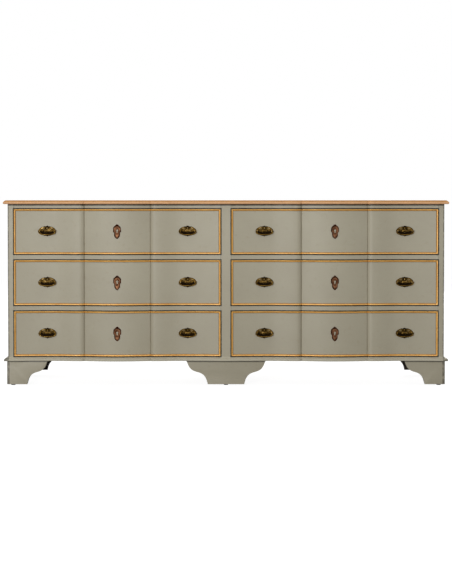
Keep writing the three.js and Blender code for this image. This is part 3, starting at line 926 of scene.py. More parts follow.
def addSawn(name, finish, cadNode, front, back, edge=1.2 * mm):
    addPiece(name, sawnMesh(front, back, edge), finish, "carcase", cadNode, sharpAngle=boardAngle)


# Copies a fixing to every (place, turn) and makes the result one piece of a body
def addFixings(name, fixing, spots, finish, body, *nodes, spin=math.pi):
    template = addObject("template", fixing)
    mesh = bpy.data.meshes.new(name)
    mesh.from_pydata([place for place, turn in spots], [], [])
    turns = [angle for place, turn in spots for angle in turn]
    mesh.attributes.new("turn", "FLOAT_VECTOR", "POINT").data.foreach_set("vector", turns)
    material, slot = finishes[finish]
    piece = addObject(name, mesh)
    runTree(piece, scatterTree, {"Fixing": template, "Spin": spin, "Finish": material})
    bpy.data.objects.remove(template)
    stated(piece, slot, body, nodes)


# The front: stations, rails, stiles, drawer fronts and beads


# Places along the front, with a point on each crease between bulge and roll
def frontStations(low, high, stride=7 * mm):
    creases = [bank * bankCentre + side * crossbow["Half Bulge"] for bank in (-1, 1) for side in (-1, 1)]
    marks = [crease + share * crossbow["Groove Half"] for crease in creases for share in steps(-1, 1, 4)]
    stops = sorted([low, high] + [mark for mark in marks if low < mark < high])
    line = []
    for near, far in zip(stops, stops[1:]):
        line += steps(near, far, max(1, math.ceil((far - near) / stride)))[:-1]
    return [*line, high]


# Way round an eased corner, as shares of its edge
easing = [(0, 1.7), (0, 1), (0.3, 0.3), (1, 0), (1.7, 0)]


# Eased rectangle of (y, z, follow) points; only its front follows the crossbow line
def railSection(ys, zs, edge, inset):
    front, back, bottom, top = ys[0] + inset, ys[1] - inset, zs[0] + inset, zs[1] - inset
    corners = [(front, bottom, 1, 1), (back, bottom, -1, 1), (back, top, -1, -1), (front, top, 1, -1)]
    section = []
    for number, (y, z, inY, inZ) in enumerate(corners):
        for byY, byZ in reversed(easing) if number % 2 else easing:
            section.append((y + inY * byY * edge, z + inZ * byZ * edge, float(inY > 0)))
    return section


def railShape(xs, zs, edge=1 * mm):
    line = [xs[0], *frontStations(xs[0] + edge, xs[1] - edge), xs[1]]
    rings = []
    for number, x in enumerate(line):
        inset = edge if number in (0, len(line) - 1) else 0
        rings.append([(x, *point) for point in railSection((hollowY, frameBack), zs, edge, inset)])
    return loft(rings)


def addFaceFrame():
    near, far = bankCentre - halfOpening, bankCentre + halfOpening
    stiles = {"left": (-caseHalf, -far), "centre": (-near, near), "right": (far, caseHalf)}
    for label, xs in stiles.items():
        shape = railShape(xs, (caseBottom, caseTop))
        addCarcasePiece(f"stile_{label}", "paint", "face_frame", shape, bend=1.0)
    bottoms = [caseBottom] + [bottom + openingHeight for bottom in openingBottoms]
    tops = [*openingBottoms, caseTop]
    for label, bottom, top in zip(["base", "lower", "upper", "top"], bottoms, tops):
        for hand, side in hands.items():
            xs = (side * bankCentre - halfOpening, side * bankCentre + halfOpening)
            shape = railShape(xs, (bottom, top))
            addCarcasePiece(f"rail_{label}_{hand}", "paint", "face_frame", shape, bend=1.0)


beadLine = {
    "width": 8 * mm,
    "seat": 0.4 * mm,
    "mitreClear": 1 * mm,
    "uprightSteps": 24,
    # distance in from the edge and height over the board, from the outer foot over the crown
    "profile": [
        (0, 3.0), (0.4, 3.9), (1.3, 4.5), (2.6, 4.5), (3.6, 4.1), (5, 2.8), (6.4, 1.4), (7.4, 0.5), (8, 0),
    ],
}


# Gilt bead round a drawer front, mitred at its corners
def beadShape(centre, bottom, top):
    width, seat = beadLine["width"], beadLine["seat"]
    clear = width + beadLine["mitreClear"]
    profile = [(0, -seat), *inMillimetres(beadLine["profile"]), (width, -seat)]
    places = frontStations(centre - frontHalf + clear, centre + frontHalf - clear)
    along = [-frontHalf, *[x - centre for x in places], frontHalf]
    upright = steps(bottom + clear, top - clear, beadLine["uprightSteps"])

    def ring(x, z):
        made = []
        for inward, height in profile:
            reach = frontHalf - inward
            heldX = centre + max(-reach, min(reach, x))
            heldZ = max(bottom + inward, min(top - inward, z))
            made.append((heldX, hollowY - height, heldZ, 1.0))
        return made

    rings = [ring(x, bottom) for x in along]
    rings += [ring(frontHalf, z) for z in upright]
    rings += [ring(x, top) for x in reversed(along)]
    rings += [ring(-frontHalf, z) for z in reversed(upright)]
    return loft(rings, loop=True)


backFacing = 0.9  # a face whose normal has this share along Y is the bare back of a front


def addDrawerFront(name, centre, bottom, top):
    cadNode = f"{name}_front"
    board = meshOf(railShape((centre - frontHalf, centre + frontHalf), (bottom, top)))
    piece = addPiece(f"{cadNode}_board", board, "paint", name, cadNode, bend=1.0)
    piece.data.materials.append(finishes["woodX"][0])
    for face in piece.data.polygons:
        if face.normal.y > backFacing:
            face.material_index = 1
    bead = meshOf(beadShape(centre, bottom, top))
    addPiece(f"{name}_bead", bead, "gilt", name, cadNode, bend=1.0)


# Top board and base moulding


topEdge = {
    "overhang": 19 * mm,
    "noseRound": 5 * mm,
    "noseHeight": 8 * mm,
    "lip": 0.5 * mm,
    "quirk": 0.5 * mm,
    "seat": 0.3 * mm,
    # slope from the nose to the top face, as a power of its height
    "run": 11 * mm,
    "slant": 1.4,
    "backEase": 0.6 * mm,
    "cornerRun": 8 * mm,
    "groove": 0.35,
}


def addTopBoard():
    bottom, top = spanOf("top_board", "z")
    backY = spanOf("top_board", "y")[1]
    nose, run, quirk = topEdge["noseRound"], topEdge["run"], topEdge["quirk"]
    # inset from the widest line and height over the underside
    profile = []
    for turn in steps(math.pi / 2, 0, 5):
        profile.append((nose * (1 - math.cos(turn)), nose * (1 - math.sin(turn))))
    lip, seat = topEdge["noseHeight"] - topEdge["lip"], topEdge["noseHeight"] + topEdge["seat"]
    profile += [(0, lip), (quirk, topEdge["noseHeight"])]
    for share in steps(0, 1, 8):
        inset = quirk + (run - quirk) * share ** topEdge["slant"]
        profile.append((inset, seat + (top - bottom - seat) * share))
    inner = frontStations(-caseHalf + topEdge["cornerRun"], caseHalf - topEdge["cornerRun"])
    rings = []
    for inset, height in profile:
        reach = topEdge["overhang"] - inset
        line = [-caseHalf - reach, *inner, caseHalf + reach]
        behind = backY - min(inset, topEdge["backEase"])
        front = [(x, hollowY - reach, bottom + height, 1.0) for x in line]
        rings.append(front + [(x, behind, bottom + height, 0.0) for x in reversed(line)])
    board = loft(rings, strip=True)
    addCarcasePiece("top_board_oak", "oak", "top_board", board, bend=topEdge["groove"])


baseEdge = {
    "projection": 17 * mm,
    "toeRound": 2.5 * mm,
    "filletTop": 8 * mm,
    "shoulder": 3 * mm,
    "ease": 0.5 * mm,
    "seat": 0.3 * mm,
    "cornerRun": 4 * mm,
    "groove": 0.6,
    # ogee from the fillet to the shoulder, as shares of its run and height
    "ogeeShares": [(0.06, 0), (0.16, 0.22), (0.4, 0.38), (0.7, 0.52), (0.88, 0.72), (1, 0.86)],
}


def addBaseMoulding():
    bottom, top = spanOf("base_moulding", "z")
    height = top - bottom
    toe, far, fillet = baseEdge["toeRound"], baseEdge["projection"], baseEdge["filletTop"]
    shoulder, ease, seat = baseEdge["shoulder"], baseEdge["ease"], baseEdge["seat"]
    section = [(seat, 0)]
    for turn in steps(0, math.pi / 2, 4):
        section.append((far - toe + toe * math.sin(turn), toe - toe * math.cos(turn)))
    section.append((far, fillet))
    for run, share in smoothLine(baseEdge["ogeeShares"], 3):
        section.append((far - (far - shoulder) * run, fillet + (height - fillet) * share))
    section += [(shoulder, height - ease), (shoulder - ease, height), (seat, height)]

    # section at the end of a side, round a corner or at a place along the front
    def ring(place, side=0, atBack=False):
        made = []
        for run, rise in section:
            x = side * (caseHalf + run) if side else place
            y = caseBack if atBack else hollowY - run
            made.append((x, y, bottom + rise, float(not atBack)))
        return made

    line = frontStations(-caseHalf + baseEdge["cornerRun"], caseHalf - baseEdge["cornerRun"])
    rings = [ring(0, -1, True), ring(0, -1), *[ring(x) for x in line], ring(0, 1), ring(0, 1, True)]
    addCarcasePiece("base_moulding_painted", "paint", "base_moulding", loft(rings), bend=baseEdge["groove"])


# Carcase boards


caseBoards = {
    "partition": 10 * mm,
    "railDepth": 60 * mm,
    "runner": 40 * mm,
    "guide": 12 * mm,
}


# Four strips that keep the drawers of one row straight
def guideBoards(low, high):
    depth = (frameBack + caseBoards["railDepth"], panelFront - caseBoards["railDepth"])
    near, far, half = bankCentre - halfOpening, bankCentre + halfOpening, caseBoards["partition"]
    runs = [(-insideX, -far), (far, insideX), (-near, -half), (half, near)]
    return [(xs, depth, (low, high)) for xs in runs]


def addCarcase():
    low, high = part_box("side_left")
    for hand, side in hands.items():
        xs = sorted((side * insideX, side * caseHalf))
        board = (xs, (low.y, high.y), (low.z, high.z))
        addBoards(f"side_{hand}_board", "paint", f"side_{hand}", [board], edge=1.2 * mm)
    addBoards("back_panel_board", "woodX", "back_panel", [list(zip(*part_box("back_panel")))], edge=0.6 * mm)
    half, depth, runner = caseBoards["partition"], caseBoards["railDepth"], caseBoards["runner"]
    guide, wide = caseBoards["guide"], (-insideX, insideX)
    floor = spanOf("bottom_board", "z")[1] - guide
    board = (wide, (frameBack, panelFront), (caseBottom, floor))
    addBoards("bottom_board_wood", "woodX", "bottom_board", [board])
    addBoards("bottom_guides", "woodY", "bottom_board", guideBoards(floor, floor + guide))
    railEnds = [(frameBack, frameBack + depth), (panelFront - depth, panelFront)]
    inner = (frameBack + depth, panelFront - depth)
    near, far = (half, half + runner), (insideX - runner, insideX)
    runs = [(-far[1], -far[0]), (-near[1], -near[0]), near, far]
    for row in rowNames[1:]:
        cadNode = f"web_frame_{row}"
        top = spanOf(cadNode, "z")[1] - guide
        under = top - webThickness
        addBoards(f"{cadNode}_rails", "woodX", cadNode, [(wide, ys, (under, top)) for ys in railEnds])
        boards = [(xs, inner, (under, top)) for xs in runs]
        boards += guideBoards(top, top + guide) + guideBoards(under - guide, under)
        addBoards(f"{cadNode}_runners", "woodY", cadNode, boards)
    addPartition()


# Upright board between the banks, notched round the rails of both web frames
def addPartition():
    half, depth = caseBoards["partition"], caseBoards["railDepth"]
    low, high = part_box("centre_partition")
    notches = [(0, low.z)]
    for row in rowNames[1:]:
        top = spanOf(f"web_frame_{row}", "z")[1] - caseBoards["guide"]
        under = top - webThickness
        notches += [(0, under), (depth, under), (depth, top), (0, top)]
    notches.append((0, high.z))
    outline = [(high.y - inward, z) for inward, z in notches]
    outline += [(low.y + inward, z) for inward, z in reversed(notches)]
    left, right = [[(x, y, z) for y, z in outline] for x in (-half, half)]
    addSawn("centre_partition_board", "woodY", "centre_partition", left, right, edge=0.5 * mm)


# Feet, rear braces and glides


feet = {
    "height": 106 * mm,
    "glide": 5.5 * mm,
    "thickness": 24 * mm,
    "cornerTop": 184 * mm,
    "cornerFloor": 90 * mm,
    "centreTop": 360 * mm,
    "centreFloor": 164 * mm,
    "rearTop": 220 * mm,
    "rearFloor": 120 * mm,
    "block": 36 * mm,
    "blockEase": 2 * mm,
    "glideInset": 25 * mm,
    # turned glide, as (radius, height) in millimetres
    "glideProfile": [(0, 0), (7, 0), (9.4, 0.5), (10, 1.6), (10, 3.2), (9, 4.4), (6.4, 5), (6.4, 7), (0, 7)],
    # free side of a bracket from the floor up, as shares of its spread and height
    "curveShares": [
        (0, 0), (0.034, 0.11), (0.064, 0.2), (0.108, 0.285), (0.172, 0.366), (0.25, 0.43), (0.387, 0.492),
        (0.557, 0.538), (0.69, 0.588), (0.795, 0.662), (0.87, 0.755), (0.925, 0.86), (0.955, 0.94), (1, 1),
    ],
    # free end of a rear brace from its lower edge up, as shares of its width and depth
    "braceShares": [
        (0.746, 0), (0.76, 0.12), (0.785, 0.24), (0.82, 0.34), (0.87, 0.44), (0.94, 0.58), (0.985, 0.8),
        (1, 1),
    ],
}
footX = spanOf("foot_front_right", "x")[1]
footY = spanOf("foot_front_right", "y")[0]


def bracketLine(floorRun, topRun):
    spread, foot, height = topRun - floorRun, feet["glide"], feet["height"]
    line = smoothLine(feet["curveShares"], 4)
    return [(floorRun + spread * run, foot + height * rise) for run, rise in line]


def addFeet():
    thick, floor, block, ease = feet["thickness"], feet["glide"], feet["block"], feet["blockEase"]
    rise = (floor, floor + feet["height"])
    outline = [(0, rise[0]), *bracketLine(feet["cornerFloor"], feet["cornerTop"]), (0, rise[1])]
    mitred = [(max(run, thick), z) for run, z in outline]
    inner = footX - thick
    behind = (footY + thick, footY + thick + block)
    for hand, side in hands.items():
        front, rear = f"foot_front_{hand}", f"foot_rear_{hand}"
        near = [(side * (footX - run), footY, z) for run, z in outline]
        far = [(side * (footX - run), footY + thick, z) for run, z in mitred]
        addSawn(f"{front}_bracket", "paint", front, near, far)
        near = [(side * footX, footY + run, z) for run, z in outline]
        far = [(side * inner, footY + run, z) for run, z in mitred]
        addSawn(f"{front}_return", "paint", front, near, far)
        xs = sorted((side * (inner - block), side * inner))
        addBoards(f"{front}_block", "woodZ", front, [(xs, behind, rise)], ease)
        near, far = [[(side * x, caseBack - run, z) for run, z in outline] for x in (footX, inner)]
        addSawn(f"{rear}_bracket", "paint", rear, near, far)
        addBrace(hand, side, inner)
    centres = [
        ("foot_front_centre", "centre", (footY, footY + thick), "paint"),
        ("foot_rear_centre", "rear", (caseBack, caseBack - thick), "dark"),
    ]
    for cadNode, label, ys, finish in centres:
        half = bracketLine(feet[f"{label}Floor"] / 2, feet[f"{label}Top"] / 2)
        whole = [*half, *[(-x, z) for x, z in reversed(half)]]
        near, far = [[(x, y, z) for x, z in whole] for y in ys]
        addSawn(f"{cadNode}_board", finish, cadNode, near, far)
    boards = [((-block, block), behind, rise)]
    addBoards("foot_front_centre_block", "woodX", "foot_front_centre", boards, ease)


def addBrace(hand, side, start):
    cadNode = f"rear_brace_{hand}"
    low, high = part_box(cadNode)
    width, depth = high.x - low.x, high.z - low.z
    end = [(start - width * run, low.z + depth * rise) for run, rise in smoothLine(feet["braceShares"], 3)]
    outline = [(start, low.z), *end, (start, high.z)]
    near, far = [[(side * x, y, z) for x, z in outline] for y in (low.y, high.y)]
    addSawn(f"{cadNode}_board", "dark", cadNode, near, far)


def addGlides():
    inset, middle = feet["glideInset"], feet["thickness"] / 2
    frontY = footY + inset
    places = [(side * (footX - inset), frontY) for side in (-1, 1)]
    places += [(side * (footX - middle), caseBack - inset) for side in (-1, 1)]
    places += [(0, frontY), (0, caseBack - middle)]
    pad = meshOf(lathe(inMillimetres(feet["glideProfile"]), 32))
    spots = [((x, y, 0), (0, 0, 0)) for x, y in places]
    addFixings("glides", pad, spots, "pad", "carcase", "foot_front_centre", "foot_rear_centre")


# Fixings: countersunk screws, nuts on their washers, escutcheon pins


fixings = {
    # recess, dish and rim of a screw: reach, height and share of the lobes
    "screw": [(1.5, -0.9, 1), (1.5, 0.5, 1), (1.9, 0.62, 0.4), (2.7, 0.5, 0), (3.6, 0.1, 0), (3.6, -0.6, 0)],
    "lobes": 4,
    "lobeDepth": 0.36,
    "washer": [(0, 0), (6, 0), (6.2, 0.3), (6, 0.8), (0, 0.8)],
    "nut": [(0, 0.8), (3.9, 0.8), (4.2, 1.1), (4.2, 2.7), (3.8, 3), (2.1, 3), (1.9, 3.1), (0, 3.1)],
    "pin": [
        (0, -1.4), (1, -1.4), (1, -0.1), (3.9, -0.1), (4.2, 0.3), (4, 0.9), (3.2, 1.6), (1.8, 2.1), (0, 2.3),
    ],
    "pinTone": 0.05,
    # places of the back panel's screws
    "edge": 9 * mm,
    "sideStart": 150 * mm,
    "braceShares": (0.2, 0.8),
    "braceDrop": 15 * mm,
}


# Screw head with a lobed recess, its seat at zero and its crown along +Z
def screwMesh():
    rings = []
    for reach, height, share in fixings["screw"]:
        ring = []
        for turn in circle(32):
            out = reach * mm * (1 + fixings["lobeDepth"] * share * math.cos(fixings["lobes"] * turn))
            ring.append((out * math.cos(turn), out * math.sin(turn), height * mm))
        rings.append(ring)
    return meshOf(loft(rings))


def nutMesh():
    return meshOf(lathe(inMillimetres(fixings["washer"]), 24), lathe(inMillimetres(fixings["nut"]), 6))


def pinMesh():
    turned = lathe(inMillimetres(fixings["pin"]), 24, lambda *point: (*point, fixings["pinTone"]))
    return meshOf(turned, tag="patinaAndLight")


def addCarcaseScrews():
    facing = (-math.pi / 2, 0, 0)  # crown towards +Y
    low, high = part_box("back_panel")
    left, right = low.x + fixings["edge"], high.x - fixings["edge"]
    ends = (low.z + fixings["edge"], high.z - fixings["edge"])
    places = [(x, z) for x in steps(left, right, 8) for z in ends]
    upright = steps(low.z + fixings["sideStart"], high.z - fixings["sideStart"], 2)
    places += [(x, z) for x in (left, 0, right) for z in upright]
    for hand in hands:
        near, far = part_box(f"rear_brace_{hand}")
        for share in fixings["braceShares"]:
            places.append((near.x + (far.x - near.x) * share, far.z - fixings["braceDrop"]))
    spots = [((x, high.y, z), facing) for x, z in places]
    addFixings("back_screws", screwMesh(), spots, "steel", "carcase", "back_panel")


# Drawer boxes


drawerBox = {
    "side": 12 * mm,
    "bottom": 6 * mm,
    "raise": 9 * mm,
    "backDrop": 2 * mm,
    "pins": 5,
    "pinStart": 20 * mm,
    "pinLength": 12 * mm,
    "pinWidth": 9 * mm,
    "pinNarrow": 1.6,
    "pinProud": 0.12 * mm,
    "pinEase": 0.05 * mm,
}


def addDrawerBox(name):
    cadNode = f"{name}_box"
    low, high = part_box(cadNode)
    side, under = drawerBox["side"], low.z + drawerBox["raise"]
    xs = [(low.x, low.x + side), (high.x - side, high.x)]
    boards = [(x, (low.y, high.y), (low.z, high.z)) for x in xs]
    addBoards(f"{cadNode}_sides", "woodY", cadNode, boards, body=name)
    across = (low.x + side, high.x - side)
    boards = [
        (across, (high.y - side, high.y), (low.z, high.z - drawerBox["backDrop"])),
        (across, (low.y, high.y - side), (under, under + drawerBox["bottom"])),
    ]
    addBoards(f"{cadNode}_back_and_bottom", "woodX", cadNode, boards, body=name)
    length, half = drawerBox["pinLength"], drawerBox["pinWidth"] / 2
    narrow, proud, start = half / drawerBox["pinNarrow"], drawerBox["pinProud"], drawerBox["pinStart"]
    tail = [(0, -half), (length, -narrow), (length, narrow), (0, half)]
    pin = sawnMesh(*[[(x, y, z) for y, z in tail] for x in (proud, -proud)], drawerBox["pinEase"])
    spots = []
    for z in steps(low.z + start, high.z - start, drawerBox["pins"]):
        for y, turn in [(high.y, math.pi), (low.y, 0)]:
            spots += [((x, y, z), (turn, 0, 0)) for x in (low.x, high.x)]
    addFixings(f"{cadNode}_dovetails", pin, spots, "woodZ", name, cadNode, spin=0)


# Handles


handle = {
    "half": (39.4 * mm, 22 * mm),
    "nubHalf": 0.14,
    "nubPower": 1.4,
    "nubRise": 2.8 * mm,
    "field": 0.9 * mm,
    "rim": 3.0 * mm,
    "gadroons": 36,
    "gadroonRise": 0.18 * mm,
    "bossHalf": (13 * mm, 5.2 * mm),
    "bossRise": 3.0 * mm,
    "bossRound": 1.02,
    "crestHalf": (6.2 * mm, 4 * mm),
    "crestUp": 12.6 * mm,
    "crestRise": 2.2 * mm,
    # side and strength of the two painted highlights, reflections of light on the upper slopes of the dish
    "rubbed": [(-1, 1.7), (1, 1.3)],
    "highlightAcross": 18 * mm,
    "highlightUp": 11.5 * mm,
    "highlightReach": 5 * mm,
    "highlightFlat": 1.5,
    "post": 32.5 * mm,
    "standoff": 8.5 * mm,
    "shank": 2 * mm,
    # turned post: (radius, distance from the plate's back) in millimetres
    "postProfile": [
        (0, 0), (4.6, 0), (4.6, 2.4), (4.2, 3.1), (3.2, 3.6), (2.6, 4.3), (2.4, 5.4), (2.7, 6.2),
        (3.3, 6.9), (3.4, 7.4), (3.4, 9.4), (3.2, 10.2), (2.4, 11.1), (1.2, 11.7), (0, 11.9),
    ],
}
# Zones of a plate, as shares of the way from the boss's edge to the plate's edge
plateZone = {
    "bossEdge": (0.4, 0.9),
    "crown": (0.25, 0.8),
    "crownEnd": (0.9, 1.0),
    "gadroons": (0.74, 0.86),
    "bowlShadeEnd": (0.7, 0.8),
    # reach of the painted shade on the plate's outer edge
    "edge": (0.86, 0.96),
    # where the painted shade under the crest lies
    "crestFootShade": 0.12,
    # painted shadow in the bowl under the boss: sag of its upper line, where that sag is reached, and depth
    # below it
    "bowlShadeSag": 6 * mm,
    "bowlShadeAcross": 28 * mm,
    "bowlShade": (3 * mm, 8 * mm),
    # painted dark reflection on the rim over the crest: half its width and its heights
    "topAcross": 7 * mm,
    "top": (12 * mm, 16 * mm),
    # line round the crest, in reaches of the crest
    "crestLine": 1.15,
    "crestLineHalf": 0.45,
}
# How bright the metal of a plate is, from zero in dark patina to one where it is rubbed. The field's slope
# and the rims' tops carry painted reflections, and the bowl, the edge and the crest's foot carry painted
# shade
plateTone = {
    "boss": 0.42,
    "bossEdge": 0.4,
    "field": 0.34,
    "fieldReflectionSlope": 0.2,
    "rim": 0.2,
    "upperRimReflection": 0.5,
    "bowlShade": 0.4,
    "edge": 0.5,
    "crestFootShade": 0.5,
    "crest": 0.55,
    "crestRound": 0.45,
    "topRimReflection": 0.35,
    "back": 0.2,
    "post": (0.35, 0.5),
    "shank": 0.3,
}


def smoothShare(value, low, high):
    share = max(0.0, min(1.0, (value - low) / (high - low)))
    return share * share * (3 - 2 * share)


# Bump that falls smoothly from one in the middle to nothing at a reach of one
def dome(reach):
    return 0.5 + 0.5 * math.cos(math.pi * min(reach, 1.0))


# Bell that falls from one in the middle and never ends
def bell(away):
    return math.exp(-away ** 2)


# Height of the plate's face over its back and how bright its metal is: patina, rubbing, and painted
# reflections, highlights and shade. The share runs from the boss's edge to the plate's edge, and the way
# over the boss itself is below zero
def plateRelief(share, turn, x, z):
    field, tone, zone = handle["field"], plateTone, plateZone
    if share < 0:
        reach = 1 + share
        height = field + handle["bossRise"] * math.sqrt(handle["bossRound"] - reach * reach)
        return height, tone["boss"] + tone["bossEdge"] * smoothShare(reach, *zone["bossEdge"])
    upper = max(0.0, math.sin(turn))
    onRim = smoothShare(share, *zone["gadroons"])
    crown = smoothShare(share, *zone["crown"]) * (1 - smoothShare(share, *zone["crownEnd"]))
    height = field + (handle["rim"] - field) * crown
    height += handle["gadroonRise"] * onRim * math.cos(handle["gadroons"] * turn)
    # painted reflection: the field lighter at the top and darker at the bottom
    bright = tone["field"] + tone["fieldReflectionSlope"] * math.sin(turn)
    # the rim rubbed brighter, with a painted dark reflection on its upper part
    bright += (tone["rim"] - tone["upperRimReflection"] * upper ** 2) * onRim
    # painted shadow in the bowl under the boss
    under = zone["bowlShadeSag"] * (x / zone["bowlShadeAcross"]) ** 2 - z
    bright -= tone["bowlShade"] * smoothShare(under, *zone["bowlShade"]) * (1 - smoothShare(share, *zone["bowlShadeEnd"]))
    # painted shade on the plate's outer edge
    bright -= tone["edge"] * smoothShare(share, *zone["edge"])
    # painted shade under the crest
    bright -= tone["crestFootShade"] * upper * dome(abs(share - zone["crestFootShade"]) / zone["crestFootShade"])
    # painted highlights: two reflections of light on the dish's upper slopes
    for side, rubbed in handle["rubbed"]:
        across, up = x - side * handle["highlightAcross"], (z - handle["highlightUp"]) * handle["highlightFlat"]
        bright += rubbed * bell(math.hypot(across, up) / handle["highlightReach"])
    # painted dark reflection on the rim over the crest
    bright -= tone["topRimReflection"] * bell(x / zone["topAcross"]) * smoothShare(z, *zone["top"])
    across, up = handle["crestHalf"]
    reach = math.hypot(x / across, (z - handle["crestUp"]) / up)
    height += handle["crestRise"] * dome(reach)
    fromLine = abs(reach - zone["crestLine"]) / zone["crestLineHalf"]
    bright += tone["crest"] * dome(reach) - tone["crestRound"] * dome(fromLine)
    return height, bright


def plateShape(centreX, backY, centreZ):
    halfX, halfZ = handle["half"]
    bossX, bossZ = handle["bossHalf"]
    shares = [*steps(-0.95, -0.35, 5), *steps(-0.25, 0, 5), *steps(0.03, 0.66, 21), *steps(0.69, 0.99, 9), 1]

    # point of a ring, from the middle over the boss's edge at zero to the plate's edge at one
    def ringPoint(share, turn):
        across, up = math.cos(turn), math.sin(turn)
        if share < 0:
            return (1 + share) * bossX * across, (1 + share) * bossZ * up
        away = min(abs(turn - math.pi / 2), abs(turn - 3 * math.pi / 2)) / handle["nubHalf"]
        nub = handle["nubRise"] * (1 - away) ** handle["nubPower"] if away < 1 else 0
        edgeZ = (halfZ + nub) * up
        return across * (bossX + (halfX - bossX) * share), bossZ * up + (edgeZ - bossZ * up) * share

    rings = []
    for share in shares:
        ring = []
        for turn in circle(128):
            x, z = ringPoint(share, turn)
            height, bright = plateRelief(share, turn, x, z)
            ring.append((centreX + x, backY - height, centreZ + z, bright))
        rings.append(ring)
    return loft([*rings, [(x, backY, z, plateTone["back"]) for x, y, z, bright in rings[-1]]])


def addHandle(name, end, centreX):
    cadNode, bail = f"{name}_plate_{end}", f"{name}_bail_{end}"
    low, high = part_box(cadNode)
    bailLow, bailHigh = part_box(bail)
    centreZ, pivotY = (low.z + high.z) / 2, (bailLow.y + bailHigh.y) / 2
    backY = pivotY + handle["standoff"]
    plate = meshOf(plateShape(centreX, backY, centreZ), tag="patinaAndLight")
    addPiece(f"{cadNode}_brass", plate, "brass", name, cadNode)
    reach, length = handle["shank"], backY - high.y
    shank = [(0, 0), (reach, 0), (reach, length), (0, length)]
    foot, slope = plateTone["post"]
    posts = []
    for side in (-1, 1):
        x = centreX + side * handle["post"]
        posts.append(lathe(inMillimetres(handle["postProfile"]), 24, lambda u, v, w: (
            x + u, backY - w, centreZ + v, foot + slope * w / (12 * mm))))
        posts.append(lathe(shank, 12, lambda u, v, w: (x + u, backY - w, centreZ + v, plateTone["shank"])))
    addPiece(f"{name}_posts_{end}", meshOf(*posts, tag="patinaAndLight"), "brass", name, cadNode)
    addPiece(f"{bail}_brass", bailMesh(centreX, pivotY, centreZ), "brass", bail, bail)


bailBar = {
    "arm": 38.3 * mm,
    "drop": 16.5 * mm,
    "radius": 1.9 * mm,
    # how square the curve is across and down
    "square": (0.8, 0.62),
    # thicker middle and a ring on both sides of it
    "swell": 0.55 * mm,
    "swellHalf": 9 * mm,
    "ring": 0.3 * mm,
    "ringAt": 11 * mm,
    "ringHalf": 1.2 * mm,
    # radius and way along, in millimetres
    "ear": [(0, -2.1), (2.3, -2.1), (3.1, -1.7), (3.4, -1), (3.4, 1), (3.1, 1.7), (2.3, 2.1), (0, 2.1)],
    "pin": [(0, 0), (1.5, 0), (1.5, 5.5), (0, 5.5)],
    "tone": (0.45, 0.2),
    "earTone": 0.6,
    "pinTone": 0.4,
}


# Drooping bar between two ears, thicker in the middle, with a pin from each ear into its post
def bailMesh(centreX, pivotY, centreZ):
    wide, deep = bailBar["square"]
    plain, slope = bailBar["tone"]
    line = []
    for turn in steps(0, math.pi, 72):
        across = math.copysign(abs(math.cos(turn)) ** wide, math.cos(turn))
        line.append(Vector((bailBar["arm"] * across, -bailBar["drop"] * abs(math.sin(turn)) ** deep)))
    rings = []
    for number, point in enumerate(line):
        ahead = line[min(number + 1, len(line) - 1)] - line[max(number - 1, 0)]
        side = Vector((ahead.y, -ahead.x)).normalized()
        fromMiddle = abs(point.x)
        radius = bailBar["radius"] + bailBar["swell"] * bell(fromMiddle / bailBar["swellHalf"])
        radius += bailBar["ring"] * bell((fromMiddle - bailBar["ringAt"]) / bailBar["ringHalf"])
        ring = []
        for turn in circle(14):
            x, z = point + side * (radius * math.cos(turn))
            y = pivotY - radius * math.sin(turn)
            ring.append((centreX + x, y, centreZ + z, plain + slope * math.sin(turn)))
        rings.append(ring)
    shapes = [loft(rings)]
    ear, pin = inMillimetres(bailBar["ear"]), inMillimetres(bailBar["pin"])
    earTone, pinTone = bailBar["earTone"], bailBar["pinTone"]
    for side in (-1, 1):
        x = centreX + side * bailBar["arm"]
        shapes.append(lathe(ear, 24, lambda u, v, w: (x + w, pivotY + u, centreZ + v, earTone)))
        shapes.append(lathe(pin, 12, lambda u, v, w: (x - side * w, pivotY + u, centreZ + v, pinTone)))
    return meshOf(*shapes, tag="patinaAndLight")


# Escutcheons


escutcheon = {
    "half": (17.8 * mm, 33.5 * mm),
    "thickness": 1.6 * mm,
    "holeRadius": 4.4 * mm,
    "holeRise": 6 * mm,
    "footHalf": 2.2 * mm,
    "footDrop": 5 * mm,
    "middle": 1.5 * mm,
    "pinUp": 27 * mm,
    "pinSeat": 1.3 * mm,
    # right half of the outline from the top tip down, as shares of half its width and height
    "shares": [
        (0, 1), (0.2, 0.96), (0.48, 0.81), (0.76, 0.69), (0.98, 0.5), (1, 0.08), (0.97, -0.07),
        (0.75, -0.11), (0.72, -0.53), (0.65, -0.67), (0.3, -0.88), (0, -1),
    ],
    # share of the way from keyhole to edge, height over the back as a share of the thickness, patina
    "levels": [
        (0, 0, 0.2), (0, 1.1, 0.3), (0.05, 1.32, 0.75), (0.12, 1.25, 0.65), (0.17, 0.85, 0.3),
        (0.3, 0.75, 0.4), (0.5, 0.8, 0.55), (0.68, 0.82, 0.45), (0.78, 0.95, 0.2), (0.86, 1.2, 0.25),
        (0.93, 1.15, 0.1), (0.98, 0.8, 0), (1, 0.5, 0), (1, 0, 0),
    ],
    # reeds on the lower half: where they start, their span, rise, pitch and brightness
    "reedFrom": 8 * mm,
    "reedShares": (0.2, 0.8),
    "reedRise": 0.28,
    "reedPitch": 2.2 * mm,
    "reedTone": 0.6,
    # lower tip rubbed bright
    "tip": (24 * mm, 30 * mm),
    "tipTone": 0.2,
}


